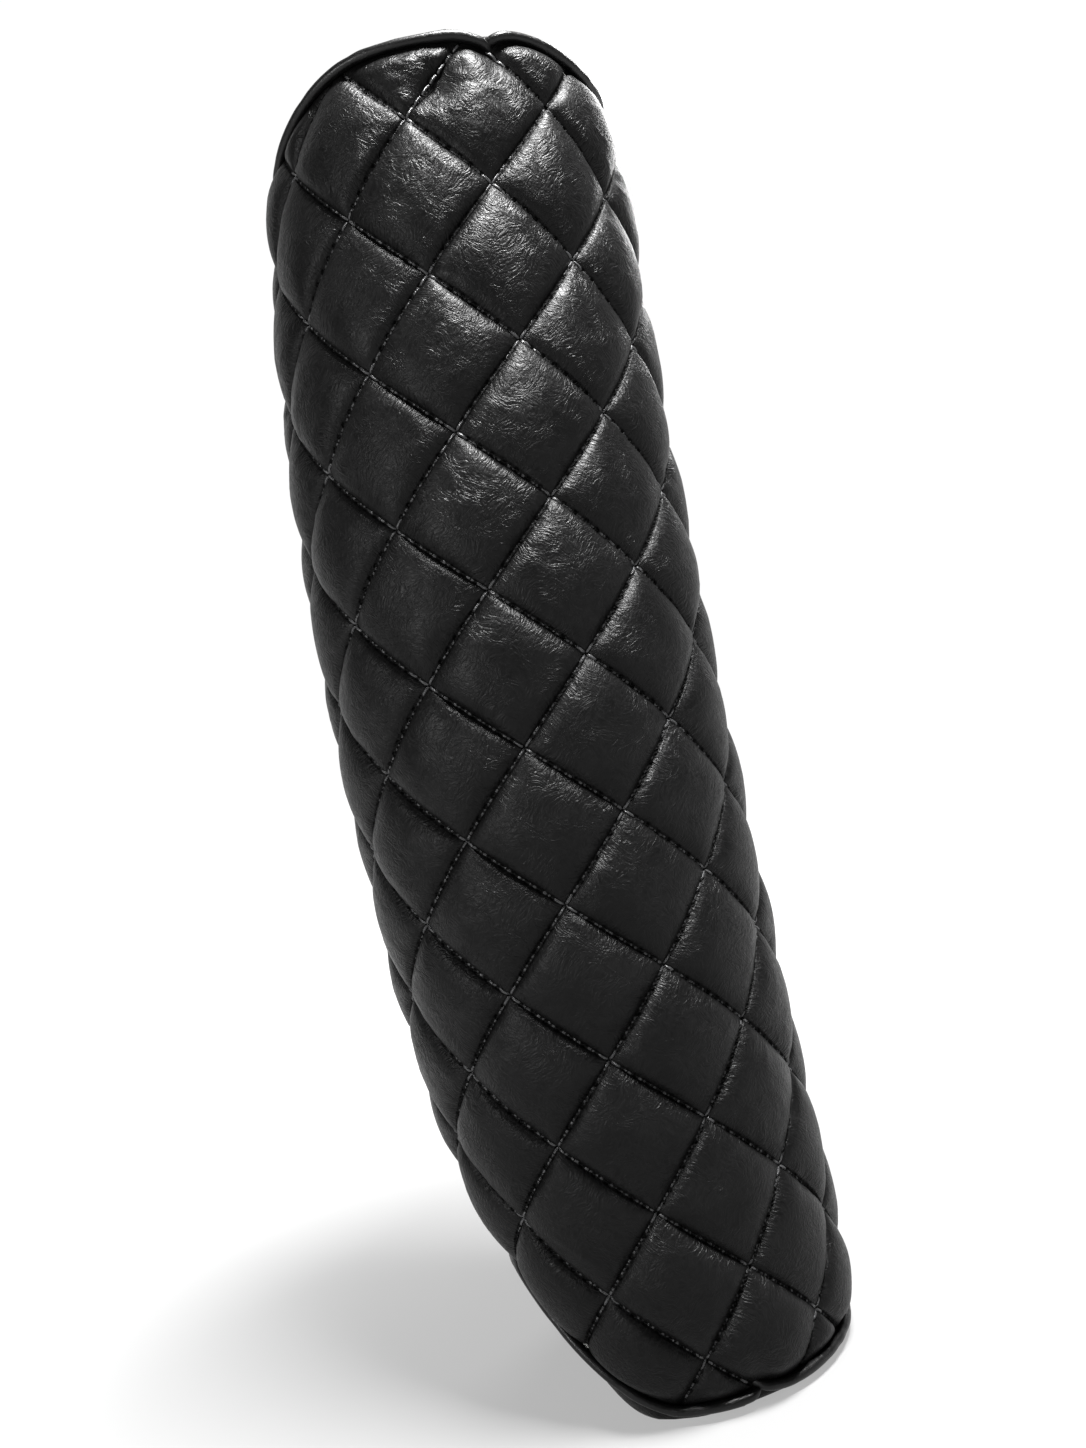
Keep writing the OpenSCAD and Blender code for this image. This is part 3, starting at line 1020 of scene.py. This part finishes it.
@dataclass
class WallLayer:
    """One layer of the tubular wall, cut open for the zip."""

    form: BolsterForm
    quilting: Quilting
    steps: int = 5
    slot_deg: float = 13.5
    slot_low: float = 39.6 * MM
    slot_high: float = 461.0 * MM
    seam_clear: float = 3.0 * MM
    kept_apart: float = 0.001

    def lattice(self, open_slot: bool) -> tuple[np.ndarray, np.ndarray, np.ndarray]:
        """Pattern angles, pattern heights and which cells have wall.

        Args:
            open_slot: whether the zip's opening is left out.

        Returns:
            The angles, the heights and the cells to keep.
        """
        step = self.form.half_col / self.steps
        a = np.arange(0.0, 360.0 - step / 2.0, step)
        if open_slot:
            edge = np.array([self.slot_deg, 360.0 - self.slot_deg])
            near = [int(np.argmin(np.abs(a - e))) for e in edge]
            a[near] = edge
        row = self.form.half_row / self.steps
        count = math.ceil((self.form.high - self.form.first_row) / row) + 1
        start = -math.ceil((self.form.first_row - self.form.low) / row) - 1
        z = self.form.first_row + row * np.arange(start, count)
        mid_a = a + step / 2.0
        mid_z = (z[:-1] + z[1:]) / 2.0
        in_slot = (mid_a < self.slot_deg) | (mid_a > 360.0 - self.slot_deg)
        in_height = (mid_z > self.slot_low) & (mid_z < self.slot_high)
        cut = in_height[:, None] & in_slot[None, :]
        keep = ~cut if open_slot else np.ones_like(cut)
        shape = (len(z), len(a))
        return np.broadcast_to(a, shape), np.broadcast_to(z[:, None], shape), keep

    def leather(self, name: str, thickness: float) -> bpy.types.Object:
        """The quilted leather, with its pattern coordinates.

        Args:
            name: the piece's name.
            thickness: the leather's thickness.

        Returns:
            The piece.
        """
        a, z, keep = self.lattice(True)
        real_z = self.form.between_seams(self.form.turned(a, z), z)
        real_a = self.form.turned(a, real_z)
        depth = self.quilting.depth(a, z, real_z)
        outer = self.form.wall(real_a, real_z, depth)
        inner = self.form.wall(real_a, real_z, depth + thickness)
        p, q = self.quilting.pattern(a, z)
        turn = 180.0 / self.form.half_col
        mesh = walled(name, outer, inner, keep, np.stack([p, q], -1), (-turn, turn))
        return link(name, mesh)

    def layer(self, name: str, start: float, end: float, follow: bool, open_slot: bool) -> bpy.types.Object:
        """A hidden layer.

        Args:
            name: the piece's name.
            start: depth of its outer face, below the quilted face or the pillows' tops.
            end: depth of its inner face below the pillows' tops.
            follow: whether its outer face follows the quilting.
            open_slot: whether it is cut open at the zip.

        Returns:
            The piece.
        """
        a, z, keep = self.lattice(open_slot)
        real_z = self.form.between_seams(self.form.turned(a, z), z)
        low = self.form.seam(End.BOTTOM, a) + self.seam_clear
        high = self.form.seam(End.TOP, a) - self.seam_clear
        real_z = np.clip(real_z, low, high) + (z - self.form.middle) * self.kept_apart
        real_a = self.form.turned(a, real_z)
        relief = self.quilting.depth(a, z, real_z) if follow else np.zeros_like(z)
        outer = self.form.wall(real_a, real_z, relief + start)
        inner = self.form.wall(real_a, real_z, np.full_like(z, end))
        pattern = np.stack(self.quilting.pattern(a, z), -1)
        return link(name, walled(name, outer, inner, keep, pattern, split=True))


@dataclass
class EndPanel:
    """A round end panel's layers."""

    form: BolsterForm
    end: End
    around: int = 128

    def disc(self, name: str, start: float, finish: float, rim: float = 1.0, wrinkled: bool = False,
             rings: int = 40) -> bpy.types.Object:
        """A disc between two depths, following the end's shape.

        Args:
            name: the piece's name.
            start: depth of its outer face.
            finish: depth of its inner face.
            rim: how far out it reaches, as a share of the panel.
            wrinkled: whether to add the leather's wrinkles.
            rings: rings from the middle to the edge.

        Returns:
            The piece.
        """
        a = np.linspace(0.0, 360.0, self.around, endpoint=False)[None, :]
        rho = (np.linspace(0.0, 1.0, rings + 1)[1:, None]) ** 0.8 * rim
        out = self.form.end(self.end, a, rho, start)
        back = self.form.end(self.end, a, rho, finish)
        if wrinkled:
            lift = self.wrinkles(a, rho)
            out[..., 2] += lift
            back[..., 2] += lift
        first, last = (self.form.middle_of(self.end, depth) for depth in (start, finish))
        rings_all = np.concatenate([out, back[::-1]])
        if self.end is End.TOP:
            rings_all = rings_all[::-1]
            first, last = last, first
        return link(name, closed_skin(name, rings_all, first, last))

    def wrinkles(self, a: np.ndarray, rho: np.ndarray) -> np.ndarray:
        """Soft wrinkles that run in from the seam, strongest near the piping's join.

        Args:
            a: angles from the zip, in degrees.
            rho: 0 at the middle of the panel, 1 at its seam.

        Returns:
            How far each point is lifted.
        """
        near = np.exp(-((a - self.form.join_deg) / 28.0) ** 2)
        fan = SmoothNoise(31)(a / 7.0, rho * 2.0) * (0.35 + 0.9 * near) * MM
        turn = np.radians(a)
        soft = SmoothNoise(32)(rho * 5.0 * np.cos(turn) + 20.0, rho * 5.0 * np.sin(turn) + 20.0)
        shape = smooth_step(0.45, 0.8, rho) * (1.0 - smooth_step(0.93, 1.0, rho))
        lift = fan * shape + soft * 0.7 * MM * (1.0 - rho ** 3)
        if self.end is End.TOP:
            return lift
        return np.abs(lift) * smooth_step(0.88, 0.95, rho) * (1.0 - smooth_step(0.97, 1.0, rho))


@dataclass
class Piping:
    """Corded piping round one end, with its ends tucked into the seam at the join."""

    form: BolsterForm
    end: End
    leather_r: float = 1.85 * MM
    cord_r: float = 1.2 * MM
    stand_out: float = 0.7 * MM
    steps: int = 420
    sides: int = 16
    overlap_deg: float = 2.5
    tuck_in: float = 4.6 * MM
    tuck_under: float = 1.5 * MM
    slip: float = 1.3 * MM
    rests_at: float = 2.2 * MM

    def route(self) -> tuple[np.ndarray, np.ndarray]:
        """The middle line and the directions outwards.

        Returns:
            The points, and the outward direction at each.
        """
        join = self.form.join_deg if self.end is End.TOP else self.form.low_join_deg
        a = np.linspace(join - self.overlap_deg, join + 360.0 + self.overlap_deg, self.steps)
        to_end = np.minimum(a - a[0], a[-1] - a)
        tuck = (1.0 - smooth_step(0.0, 7.0, to_end)) ** 1.5
        seam = self.form.seam(self.end, a)
        r = self.form.seam_radius(self.end, a) + self.stand_out - self.tuck_in * tuck
        turn = np.radians(a)
        out = np.stack([-np.sin(turn), np.cos(turn), np.zeros_like(turn)], -1)
        way = 1.0 if self.end is End.TOP else -1.0
        slip = np.where(a < join + 180.0, 1.0, -0.6) * (1.0 - smooth_step(0.0, 16.0, to_end))
        z = seam + way * 0.5 * MM + slip * self.slip - way * tuck * self.tuck_under
        if self.end is End.BOTTOM:
            z = np.maximum(z, self.rests_at)
        x = self.form.lean(a, seam) + out[:, 0] * r
        return np.stack([x, out[:, 1] * r, z], -1), out

    def tube(self, name: str, radius: float, gathered: bool) -> bpy.types.Object:
        """The leather round the cord, or the cord itself.

        Args:
            name: the piece's name.
            radius: the tube's radius.
            gathered: whether the leather's small gathers show.

        Returns:
            The piece.
        """
        path, out = self.route()
        along = np.arange(len(path)) / len(path)
        ripple = SmoothNoise(41)(along * 90.0, along * 0.0) if gathered else np.zeros(len(path))
        radii = radius * (1.0 + 0.06 * ripple)
        return link(name, swept(path, out, radii, self.sides, name))


# ---------------------------------------------------------------- stitching


@dataclass
class StitchTree:
    """Geometry Nodes that lay one bent stitch at every needle step."""

    name: str
    length: float
    thickness: float
    dip: float
    seed: int = 3
    shoulders: float = 0.8
    smallest: tuple[float, float, float] = (0.9, 0.88, 0.75)
    largest: tuple[float, float, float] = (1.06, 1.12, 1.2)

    def build(self, material: bpy.types.Material) -> bpy.types.NodeTree:
        """Makes the node tree.

        Args:
            material: the thread's finish.

        Returns:
            The tree.
        """
        tree = bpy.data.node_groups.new(self.name, "GeometryNodeTree")
        face = tree.interface
        face.new_socket("Steps", in_out="INPUT", socket_type="NodeSocketGeometry")
        for title in ("Length", "Thickness", "Dip"):
            face.new_socket(title, in_out="INPUT", socket_type="NodeSocketFloat")
        face.new_socket("Seed", in_out="INPUT", socket_type="NodeSocketInt")
        face.new_socket("Stitches", in_out="OUTPUT", socket_type="NodeSocketGeometry")
        new = tree.nodes.new
        join = tree.links.new
        given = new("NodeGroupInput")
        result = new("NodeGroupOutput")

        def number(operation: str, first: object, second: object) -> bpy.types.NodeSocket:
            """A Math node's result.

            Args:
                operation: Blender's name for the operation.
                first: first value.
                second: second value.

            Returns:
                The result.
            """
            node = new("ShaderNodeMath")
            node.operation = operation
            for socket, value in zip(node.inputs, (first, second)):
                if isinstance(value, bpy.types.NodeSocket):
                    join(value, socket)
                else:
                    socket.default_value = value
            return node.outputs[0]

        def spot(x: object, z: object) -> bpy.types.NodeSocket:
            """A point in the stitch's own plane.

            Args:
                x: place along the stitch.
                z: height above the leather.

            Returns:
                The point.
            """
            node = new("ShaderNodeCombineXYZ")
            join(x, node.inputs[0])
            join(z, node.inputs[2])
            return node.outputs[0]

        half = number("MULTIPLY", given.outputs["Length"], 0.5)
        back = number("MULTIPLY", half, -1.0)
        low = number("MULTIPLY", given.outputs["Dip"], -1.0)
        high = number("MULTIPLY", given.outputs["Dip"], 0.75)
        arc = new("GeometryNodeCurvePrimitiveBezierSegment")
        arc.mode = "POSITION"
        arc.inputs["Resolution"].default_value = 6
        join(spot(back, low), arc.inputs["Start"])
        join(spot(number("MULTIPLY", back, self.shoulders), high), arc.inputs["Start Handle"])
        join(spot(number("MULTIPLY", half, self.shoulders), high), arc.inputs["End Handle"])
        join(spot(half, low), arc.inputs["End"])
        ring = new("GeometryNodeCurvePrimitiveCircle")
        ring.inputs["Resolution"].default_value = 6
        join(number("MULTIPLY", given.outputs["Thickness"], 0.5), ring.inputs["Radius"])
        sweep = new("GeometryNodeCurveToMesh")
        sweep.inputs["Fill Caps"].default_value = True
        join(arc.outputs[0], sweep.inputs["Curve"])
        join(ring.outputs[0], sweep.inputs["Profile Curve"])
        soft = new("GeometryNodeSetShadeSmooth")
        join(sweep.outputs[0], soft.inputs[0])

        def direction(title: str) -> bpy.types.NodeSocket:
            """A named direction of each step.

            Args:
                title: the attribute's name.

            Returns:
                The direction.
            """
            node = new("GeometryNodeInputNamedAttribute")
            node.data_type = "FLOAT_VECTOR"
            node.inputs["Name"].default_value = title
            return node.outputs["Attribute"]

        lay = new("FunctionNodeAlignRotationToVector")
        lay.axis = "X"
        join(direction("along"), lay.inputs["Vector"])
        stand = new("FunctionNodeAlignRotationToVector")
        stand.axis = "Z"
        stand.pivot_axis = "X"
        join(lay.outputs[0], stand.inputs["Rotation"])
        join(direction("outward"), stand.inputs["Vector"])
        vary = new("FunctionNodeRandomValue")
        vary.data_type = "FLOAT_VECTOR"
        vary.inputs[0].default_value = self.smallest
        vary.inputs[1].default_value = self.largest
        join(given.outputs["Seed"], vary.inputs["Seed"])
        place = new("GeometryNodeInstanceOnPoints")
        join(given.outputs["Steps"], place.inputs["Points"])
        join(soft.outputs[0], place.inputs["Instance"])
        join(stand.outputs[0], place.inputs["Rotation"])
        join(vary.outputs[0], place.inputs["Scale"])
        real = new("GeometryNodeRealizeInstances")
        join(place.outputs[0], real.inputs[0])
        dress = new("GeometryNodeSetMaterial")
        dress.inputs["Material"].default_value = material
        join(real.outputs[0], dress.inputs["Geometry"])
        join(dress.outputs[0], result.inputs[0])
        return tree

    def sew(self, name: str, points: np.ndarray, along: np.ndarray, outward: np.ndarray,
            material: bpy.types.Material) -> bpy.types.Object:
        """Sews stitches at points.

        Args:
            name: the piece's name.
            points: the middle of each stitch.
            along: the seam's direction at each stitch.
            outward: the leather's outward direction at each stitch.
            material: the thread's finish.

        Returns:
            The piece, as a plain mesh.
        """
        steps = bpy.data.meshes.new(name + "_steps")
        steps.from_pydata(points.tolist(), [], [])
        for title, values in (("along", along), ("outward", outward)):
            layer = steps.attributes.new(title, "FLOAT_VECTOR", "POINT")
            layer.data.foreach_set("vector", values.astype(np.float32).ravel())
        holder = link(name + "_steps", steps)
        tree = self.build(material)
        modifier = holder.modifiers.new("stitches", "NODES")
        modifier.node_group = tree
        sizes = {"Length": self.length, "Thickness": self.thickness, "Dip": self.dip, "Seed": self.seed}
        for item in tree.interface.items_tree:
            if item.name in sizes:
                modifier[item.identifier] = sizes[item.name]
        graph = bpy.context.evaluated_depsgraph_get()
        mesh = bpy.data.meshes.new_from_object(holder.evaluated_get(graph))
        bpy.data.objects.remove(holder)
        bpy.data.meshes.remove(steps)
        mesh.name = name
        for title in ("along", "outward"):
            if title in mesh.attributes:
                mesh.attributes.remove(mesh.attributes[title])
        return link(name, mesh)


@dataclass
class QuiltStitching:
    """The seams sewn along both families of quilting lines."""

    form: BolsterForm
    quilting: Quilting
    per_side: int = 8
    above: float = 0.3 * MM
    seam_stop: float = 2.5 * MM
    zip_stop: float = 9.5

    def sink(self, a: np.ndarray, z: np.ndarray) -> np.ndarray:
        """Points on the leather at pattern angles and heights."""
        real_z = self.form.between_seams(self.form.turned(a, z), z)
        depth = self.quilting.depth(a, z, real_z, False)
        return self.form.wall(self.form.turned(a, real_z), real_z, depth - self.above)

    def steps(self, hand: Hand) -> tuple[np.ndarray, np.ndarray, np.ndarray]:
        """Middles, directions and outward directions of one family's stitches.

        Args:
            hand: which family.

        Returns:
            The middles, the directions and the outward directions.
        """
        lean = 1.0 if hand is Hand.RIGHT else -1.0
        columns = int(round(360.0 / self.form.half_col))
        pieces = []
        rows = math.ceil((self.form.high - self.form.first_row) / self.form.half_row) + 2
        for start in range(0, columns, 2):
            v = np.arange(-2.0, rows, 1.0 / self.per_side) + 0.5 / self.per_side
            u = start + lean * v
            pieces.append(np.stack([np.mod(u, columns) * self.form.half_col,
                                    self.form.first_row + v * self.form.half_row], -1))
        a, z = np.concatenate(pieces).T
        real_a = self.form.turned(a, z)
        from_zip = 180.0 - np.abs(180.0 - a)
        inside = (self.form.to_seam(real_a, z) > self.seam_stop) & (from_zip > self.zip_stop)
        a, z = a[inside], z[inside]
        reach = 0.04
        da, dz = lean * reach * self.form.half_col, reach * self.form.half_row
        along = self.sink(a + da, z + dz) - self.sink(a - da, z - dz)
        turn = np.radians(self.form.turned(a, z))
        outward = np.stack([-np.sin(turn), np.cos(turn), np.zeros_like(turn)], -1)
        along /= np.linalg.norm(along, axis=1, keepdims=True)
        outward -= (outward * along).sum(1, keepdims=True) * along
        outward /= np.linalg.norm(outward, axis=1, keepdims=True)
        return self.sink(a, z), along, outward


# ---------------------------------------------------------------- the studio


@dataclass(frozen=True)
class Studio:
    """Pale floor, soft lights and the camera."""

    lens: float = 31.67
    sensor: float = 36.0
    eye: tuple[float, float, float] = (-0.003, -0.505, 0.2506)
    roll_deg: float = 11.5
    floor_half: float = 14.0
    floor_grey: float = 0.1
    # Floor glow by distance from the middle: dim near the bolster, a painted shadow round its base.
    glow_and_shadow_reach: tuple[float, float] = (0.05, 0.7)
    glow_and_shadow: tuple[float, float] = (0.42, 1.0)
    air_reach: tuple[float, float] = (0.28, 0.8)
    air_light: tuple[float, float] = (0.18, 1.02)

    def camera(self) -> None:
        """Sets the camera, turned a little about its own line of sight."""
        data = bpy.data.cameras.new("camera")
        data.lens = self.lens
        data.sensor_width = self.sensor
        data.clip_start = 0.01
        roll = math.radians(self.roll_deg)
        obj = bpy.data.objects.new("camera", data)
        bpy.context.scene.collection.objects.link(obj)
        right = Vector((math.cos(roll), 0.0, -math.sin(roll)))
        up = Vector((math.sin(roll), 0.0, math.cos(roll)))
        back = right.cross(up)
        place = Matrix((right, up, back)).transposed().to_4x4()
        place.translation = Vector(self.eye)
        obj.matrix_world = place
        bpy.context.scene.camera = obj

    def softbox(self, name: str, place: Sequence[float], aim: Sequence[float], size: tuple[float, float],
                power: float) -> None:
        """An area light aimed at a point.

        Args:
            name: the light's name.
            place: where it stands.
            aim: the point it is turned to.
            size: its width and height.
            power: its power in watts.
        """
        data = bpy.data.lights.new(name, "AREA")
        data.shape = "RECTANGLE"
        data.size, data.size_y = size
        data.energy = power
        obj = bpy.data.objects.new(name, data)
        obj.location = place
        way = Vector(aim) - Vector(place)
        obj.rotation_euler = way.to_track_quat("-Z", "Y").to_euler()
        bpy.context.scene.collection.objects.link(obj)

    def floor(self) -> None:
        """The pale floor, which glows: white further out, dimmer near the bolster as a painted shadow round
        its base.
        """
        side = self.floor_half
        corners = [(-side, -side, 0.0), (side, -side, 0.0), (side, side, 0.0), (-side, side, 0.0)]
        mesh = bpy.data.meshes.new("floor")
        mesh.from_pydata(corners, [], [(0, 1, 2, 3)])
        bench = NodeBench("pale_floor")
        bench.shader.inputs["Base Color"].default_value = (*[self.floor_grey] * 3, 1.0)
        bench.shader.inputs["Roughness"].default_value = 0.9
        bench.shader.inputs["Specular IOR Level"].default_value = 0.1
        bench.shader.inputs["Emission Color"].default_value = (1.0, 1.0, 1.0, 1.0)
        away = bench.add("ShaderNodeVectorMath")
        away.operation = "LENGTH"
        bench.join(bench.object_coords(), away.inputs[0])
        # Emission that keeps the floor white, weaker near the bolster: a painted shadow round its base.
        glow_and_shadow = bench.ramp(away.outputs["Value"], *self.glow_and_shadow_reach, *self.glow_and_shadow)
        bench.join(glow_and_shadow, bench.shader.inputs["Emission Strength"])
        mesh.materials.append(bench.material)
        link("floor", mesh)

    def air(self) -> None:
        """The light all round: white behind the bolster, dimmer behind the camera."""
        world = bpy.data.worlds.new("studio")
        world.use_nodes = True
        tree = world.node_tree
        tree.nodes.clear()
        new = tree.nodes.new
        join = tree.links.new
        way = new("ShaderNodeTexCoord")
        split = new("ShaderNodeSeparateXYZ")
        join(way.outputs["Generated"], split.inputs[0])
        span = new("ShaderNodeMapRange")
        span.interpolation_type = "SMOOTHSTEP"
        for socket, number in zip(span.inputs[1:5], (*self.air_reach, *self.air_light)):
            socket.default_value = number
        join(split.outputs[1], span.inputs[0])
        light = new("ShaderNodeBackground")
        light.inputs["Color"].default_value = (1.0, 1.0, 1.0, 1.0)
        join(span.outputs[0], light.inputs["Strength"])
        result = new("ShaderNodeOutputWorld")
        join(light.outputs[0], result.inputs["Surface"])
        bpy.context.scene.world = world

    def build(self) -> None:
        """Sets up the whole studio."""
        bpy.context.scene.view_settings.view_transform = "Standard"
        self.camera()
        self.floor()
        self.air()
        self.softbox("key", (0.4, -0.34, 1.7), (0.0, 0.0, 0.28), (0.5, 0.38), 172.0)
        self.softbox("front_fill", (-1.0, -0.95, 0.5), (0.0, 0.0, 0.15), (0.35, 0.35), 11.0)
        self.softbox("back_fill", (0.5, 1.2, 1.2), (0.0, 0.0, 0.25), (0.8, 0.6), 22.0)


# ---------------------------------------------------------------- putting it together


@dataclass(frozen=True)
class Layers:
    """Depths of the layers' faces below the pillows' tops, and below the end panels."""

    leather: float = 1.2 * MM
    wadding: tuple[float, float] = (2.5 * MM, 9.0 * MM)
    backing: tuple[float, float] = (9.1 * MM, 9.4 * MM)
    case: tuple[float, float] = (9.5 * MM, 9.9 * MM)
    filling: float = 10.2 * MM
    end_pad: tuple[float, float] = (2.1 * MM, 5.4 * MM)
    end_case: tuple[float, float] = (5.9 * MM, 6.3 * MM)
    end_filling: float = 6.9 * MM
    pad_rim: float = 0.93
    case_rim: float = 0.9
    filling_rim: float = 0.86
    filling_clear: float = 8.0 * MM


@dataclass(frozen=True)
class ZipOpening:
    """The opening in the leather at the back, and the rows of stitches beside it."""

    half_deg: float = 6.3
    low: float = 49.3 * MM
    high: float = 450.7 * MM
    row_deg: float = 8.6
    row_low: float = 47.0 * MM
    row_high: float = 453.5 * MM
    row_step: float = 3.1 * MM
    row_sink: float = 0.1 * MM


@dataclass
class Bolster:
    """The whole cushion, built from its classes in order."""

    form: BolsterForm
    quilting: Quilting
    finishes: Finishes
    layers: Layers = Layers()
    opening: ZipOpening = ZipOpening()
    edge: float = 0.22 * MM

    def wall(self) -> None:
        """The quilted wall and the layers behind it."""
        steps = 20
        opening = self.opening
        fine = WallLayer(self.form, self.quilting, steps, opening.half_deg, opening.low, opening.high)
        leather = fine.leather("quilted_cover", self.layers.leather)
        settle(leather, self.finishes.quilted, "leather", "quilted_leather")
        hidden = WallLayer(self.form, self.quilting)
        wadding = hidden.layer("wall_wadding", *self.layers.wadding, True, True)
        settle(wadding, self.finishes.wadding, "wadding", "quilt_wadding")
        backing = hidden.layer("wall_backing", *self.layers.backing, False, True)
        settle(backing, self.finishes.lining, "lining", "quilt_backing")
        case = hidden.layer("case_tube", *self.layers.case, False, False)
        settle(case, self.finishes.cotton, "inner_cotton", "inner_case_tube")

    def ends(self) -> None:
        """The end panels, their wadding, the piping and the inner case's ends."""
        for end in End:
            title = end.value
            panel = EndPanel(self.form, end)
            skin = panel.disc(title + "_panel", 0.0, self.layers.leather, 1.0, True)
            settle(skin, self.finishes.panel, "end_leather", title + "_end_leather")
            pad = panel.disc(title + "_pad", *self.layers.end_pad, self.layers.pad_rim)
            settle(pad, self.finishes.wadding, "wadding", title + "_end_wadding")
            cap = panel.disc(title + "_case_cap", *self.layers.end_case, self.layers.case_rim)
            settle(cap, self.finishes.cotton, "inner_cotton", "inner_case_" + title)
            piping = Piping(self.form, end)
            tube = piping.tube(title + "_piping", piping.leather_r, True)
            settle(tube, self.finishes.piping, "piping_leather", title + "_piping_leather")
            cord = piping.tube(title + "_cord", piping.cord_r, False)
            settle(cord, self.finishes.cord, "cotton_cord", title + "_piping_cord")

    def filling(self) -> None:
        """The fibre filling inside the case."""
        a = np.arange(0.0, 360.0, 4.5)[None, :]
        rho = np.linspace(0.0, self.layers.filling_rim, 9)[1:, None]
        deep = self.layers.end_filling
        low = self.form.end(End.BOTTOM, a, rho, deep)
        high = self.form.end(End.TOP, a, rho, deep)[::-1]
        share = np.linspace(0.0, 1.0, 60)[:, None]
        bottom = self.form.seam(End.BOTTOM, a) + self.layers.filling_clear
        top = self.form.seam(End.TOP, a) - self.layers.filling_clear
        z = bottom + (top - bottom) * share
        side = self.form.wall(self.form.turned(a, z), z, np.full_like(z, self.layers.filling))
        first, last = (self.form.middle_of(end, deep) for end in End)
        obj = link("fibre_core", closed_skin("fibre_core", np.concatenate([low, side, high]), first, last))
        settle(obj, self.finishes.fibre, "fibre", "inner_filling")

    def stitching(self) -> None:
        """The quilting's stitches and the two rows beside the zip."""
        tree = StitchTree("quilting_stitch", 3.5 * MM, 1.05 * MM, 0.6 * MM)
        sewing = QuiltStitching(self.form, self.quilting)
        for hand in Hand:
            points, along, outward = sewing.steps(hand)
            name = "stitches_" + hand.value
            obj = tree.sew(name, points, along, outward, self.finishes.thread)
            settle(obj, self.finishes.thread, "thread", "quilting_thread_" + hand.value)
        self.zip_rows()

    def zip_rows(self) -> None:
        """The rows of stitches that hold the zip."""
        tree = StitchTree("zip_stitch", 2.3 * MM, 0.6 * MM, 0.35 * MM, 8)
        opening = self.opening
        z = np.arange(opening.row_low, opening.row_high, opening.row_step)
        rows = []
        for angle in (opening.row_deg, 360.0 - opening.row_deg):
            a = np.full_like(z, angle)
            depth = self.quilting.depth(a, z, z, False)
            rows.append(self.form.wall(a, z, depth - opening.row_sink))
        points = np.concatenate(rows)
        along = np.tile(np.array([0.0, 0.0, 1.0]), (len(points), 1))
        outward = np.tile(np.array([0.0, 1.0, 0.0]), (len(points), 1))
        obj = tree.sew("zip_stitching", points, along, outward, self.finishes.thread)
        settle(obj, self.finishes.thread, "thread")

    def zip(self) -> None:
        """Dresses the zip's own parts."""
        nodes = frame["nodes"]
        moving = ("zip_slider", "zip_pull")
        facings = ("zip_facing_left", "zip_facing_right")
        for name in ("zip_teeth_left", "zip_teeth_right", "zip_top_stops", "zip_bottom_stop", *moving):
            self.dress(nodes[name], self.finishes.metal)
        for name in ("zip_tape_left", "zip_tape_right"):
            self.dress(nodes[name], self.finishes.tape)
        for name in facings:
            self.dress(nodes[name], self.finishes.piping)
        for name in (*moving, *facings):
            round_off = nodes[name].modifiers.new("rounded_edges", "BEVEL")
            round_off.width = self.edge
            round_off.segments = 2
            round_off.limit_method = "ANGLE"
            round_off.angle_limit = math.radians(40.0)

    def dress(self, obj: bpy.types.Object, material: bpy.types.Material) -> None:
        """Gives a CAD node its finish."""
        obj.data.materials.clear()
        obj.data.materials.append(material)
        LOG.info("%s: %s", obj.name, material.name)

    def build(self) -> None:
        """Builds every piece in order."""
        self.wall()
        self.ends()
        self.filling()
        self.stitching()
        self.zip()


def main() -> None:
    """Builds the studio and the bolster."""
    logging.basicConfig(level=logging.INFO, format="%(message)s")
    Studio().build()
    form = BolsterForm()
    Bolster(form, Quilting(form), Finishes.make()).build()


if __name__ == "__main__":
    main()
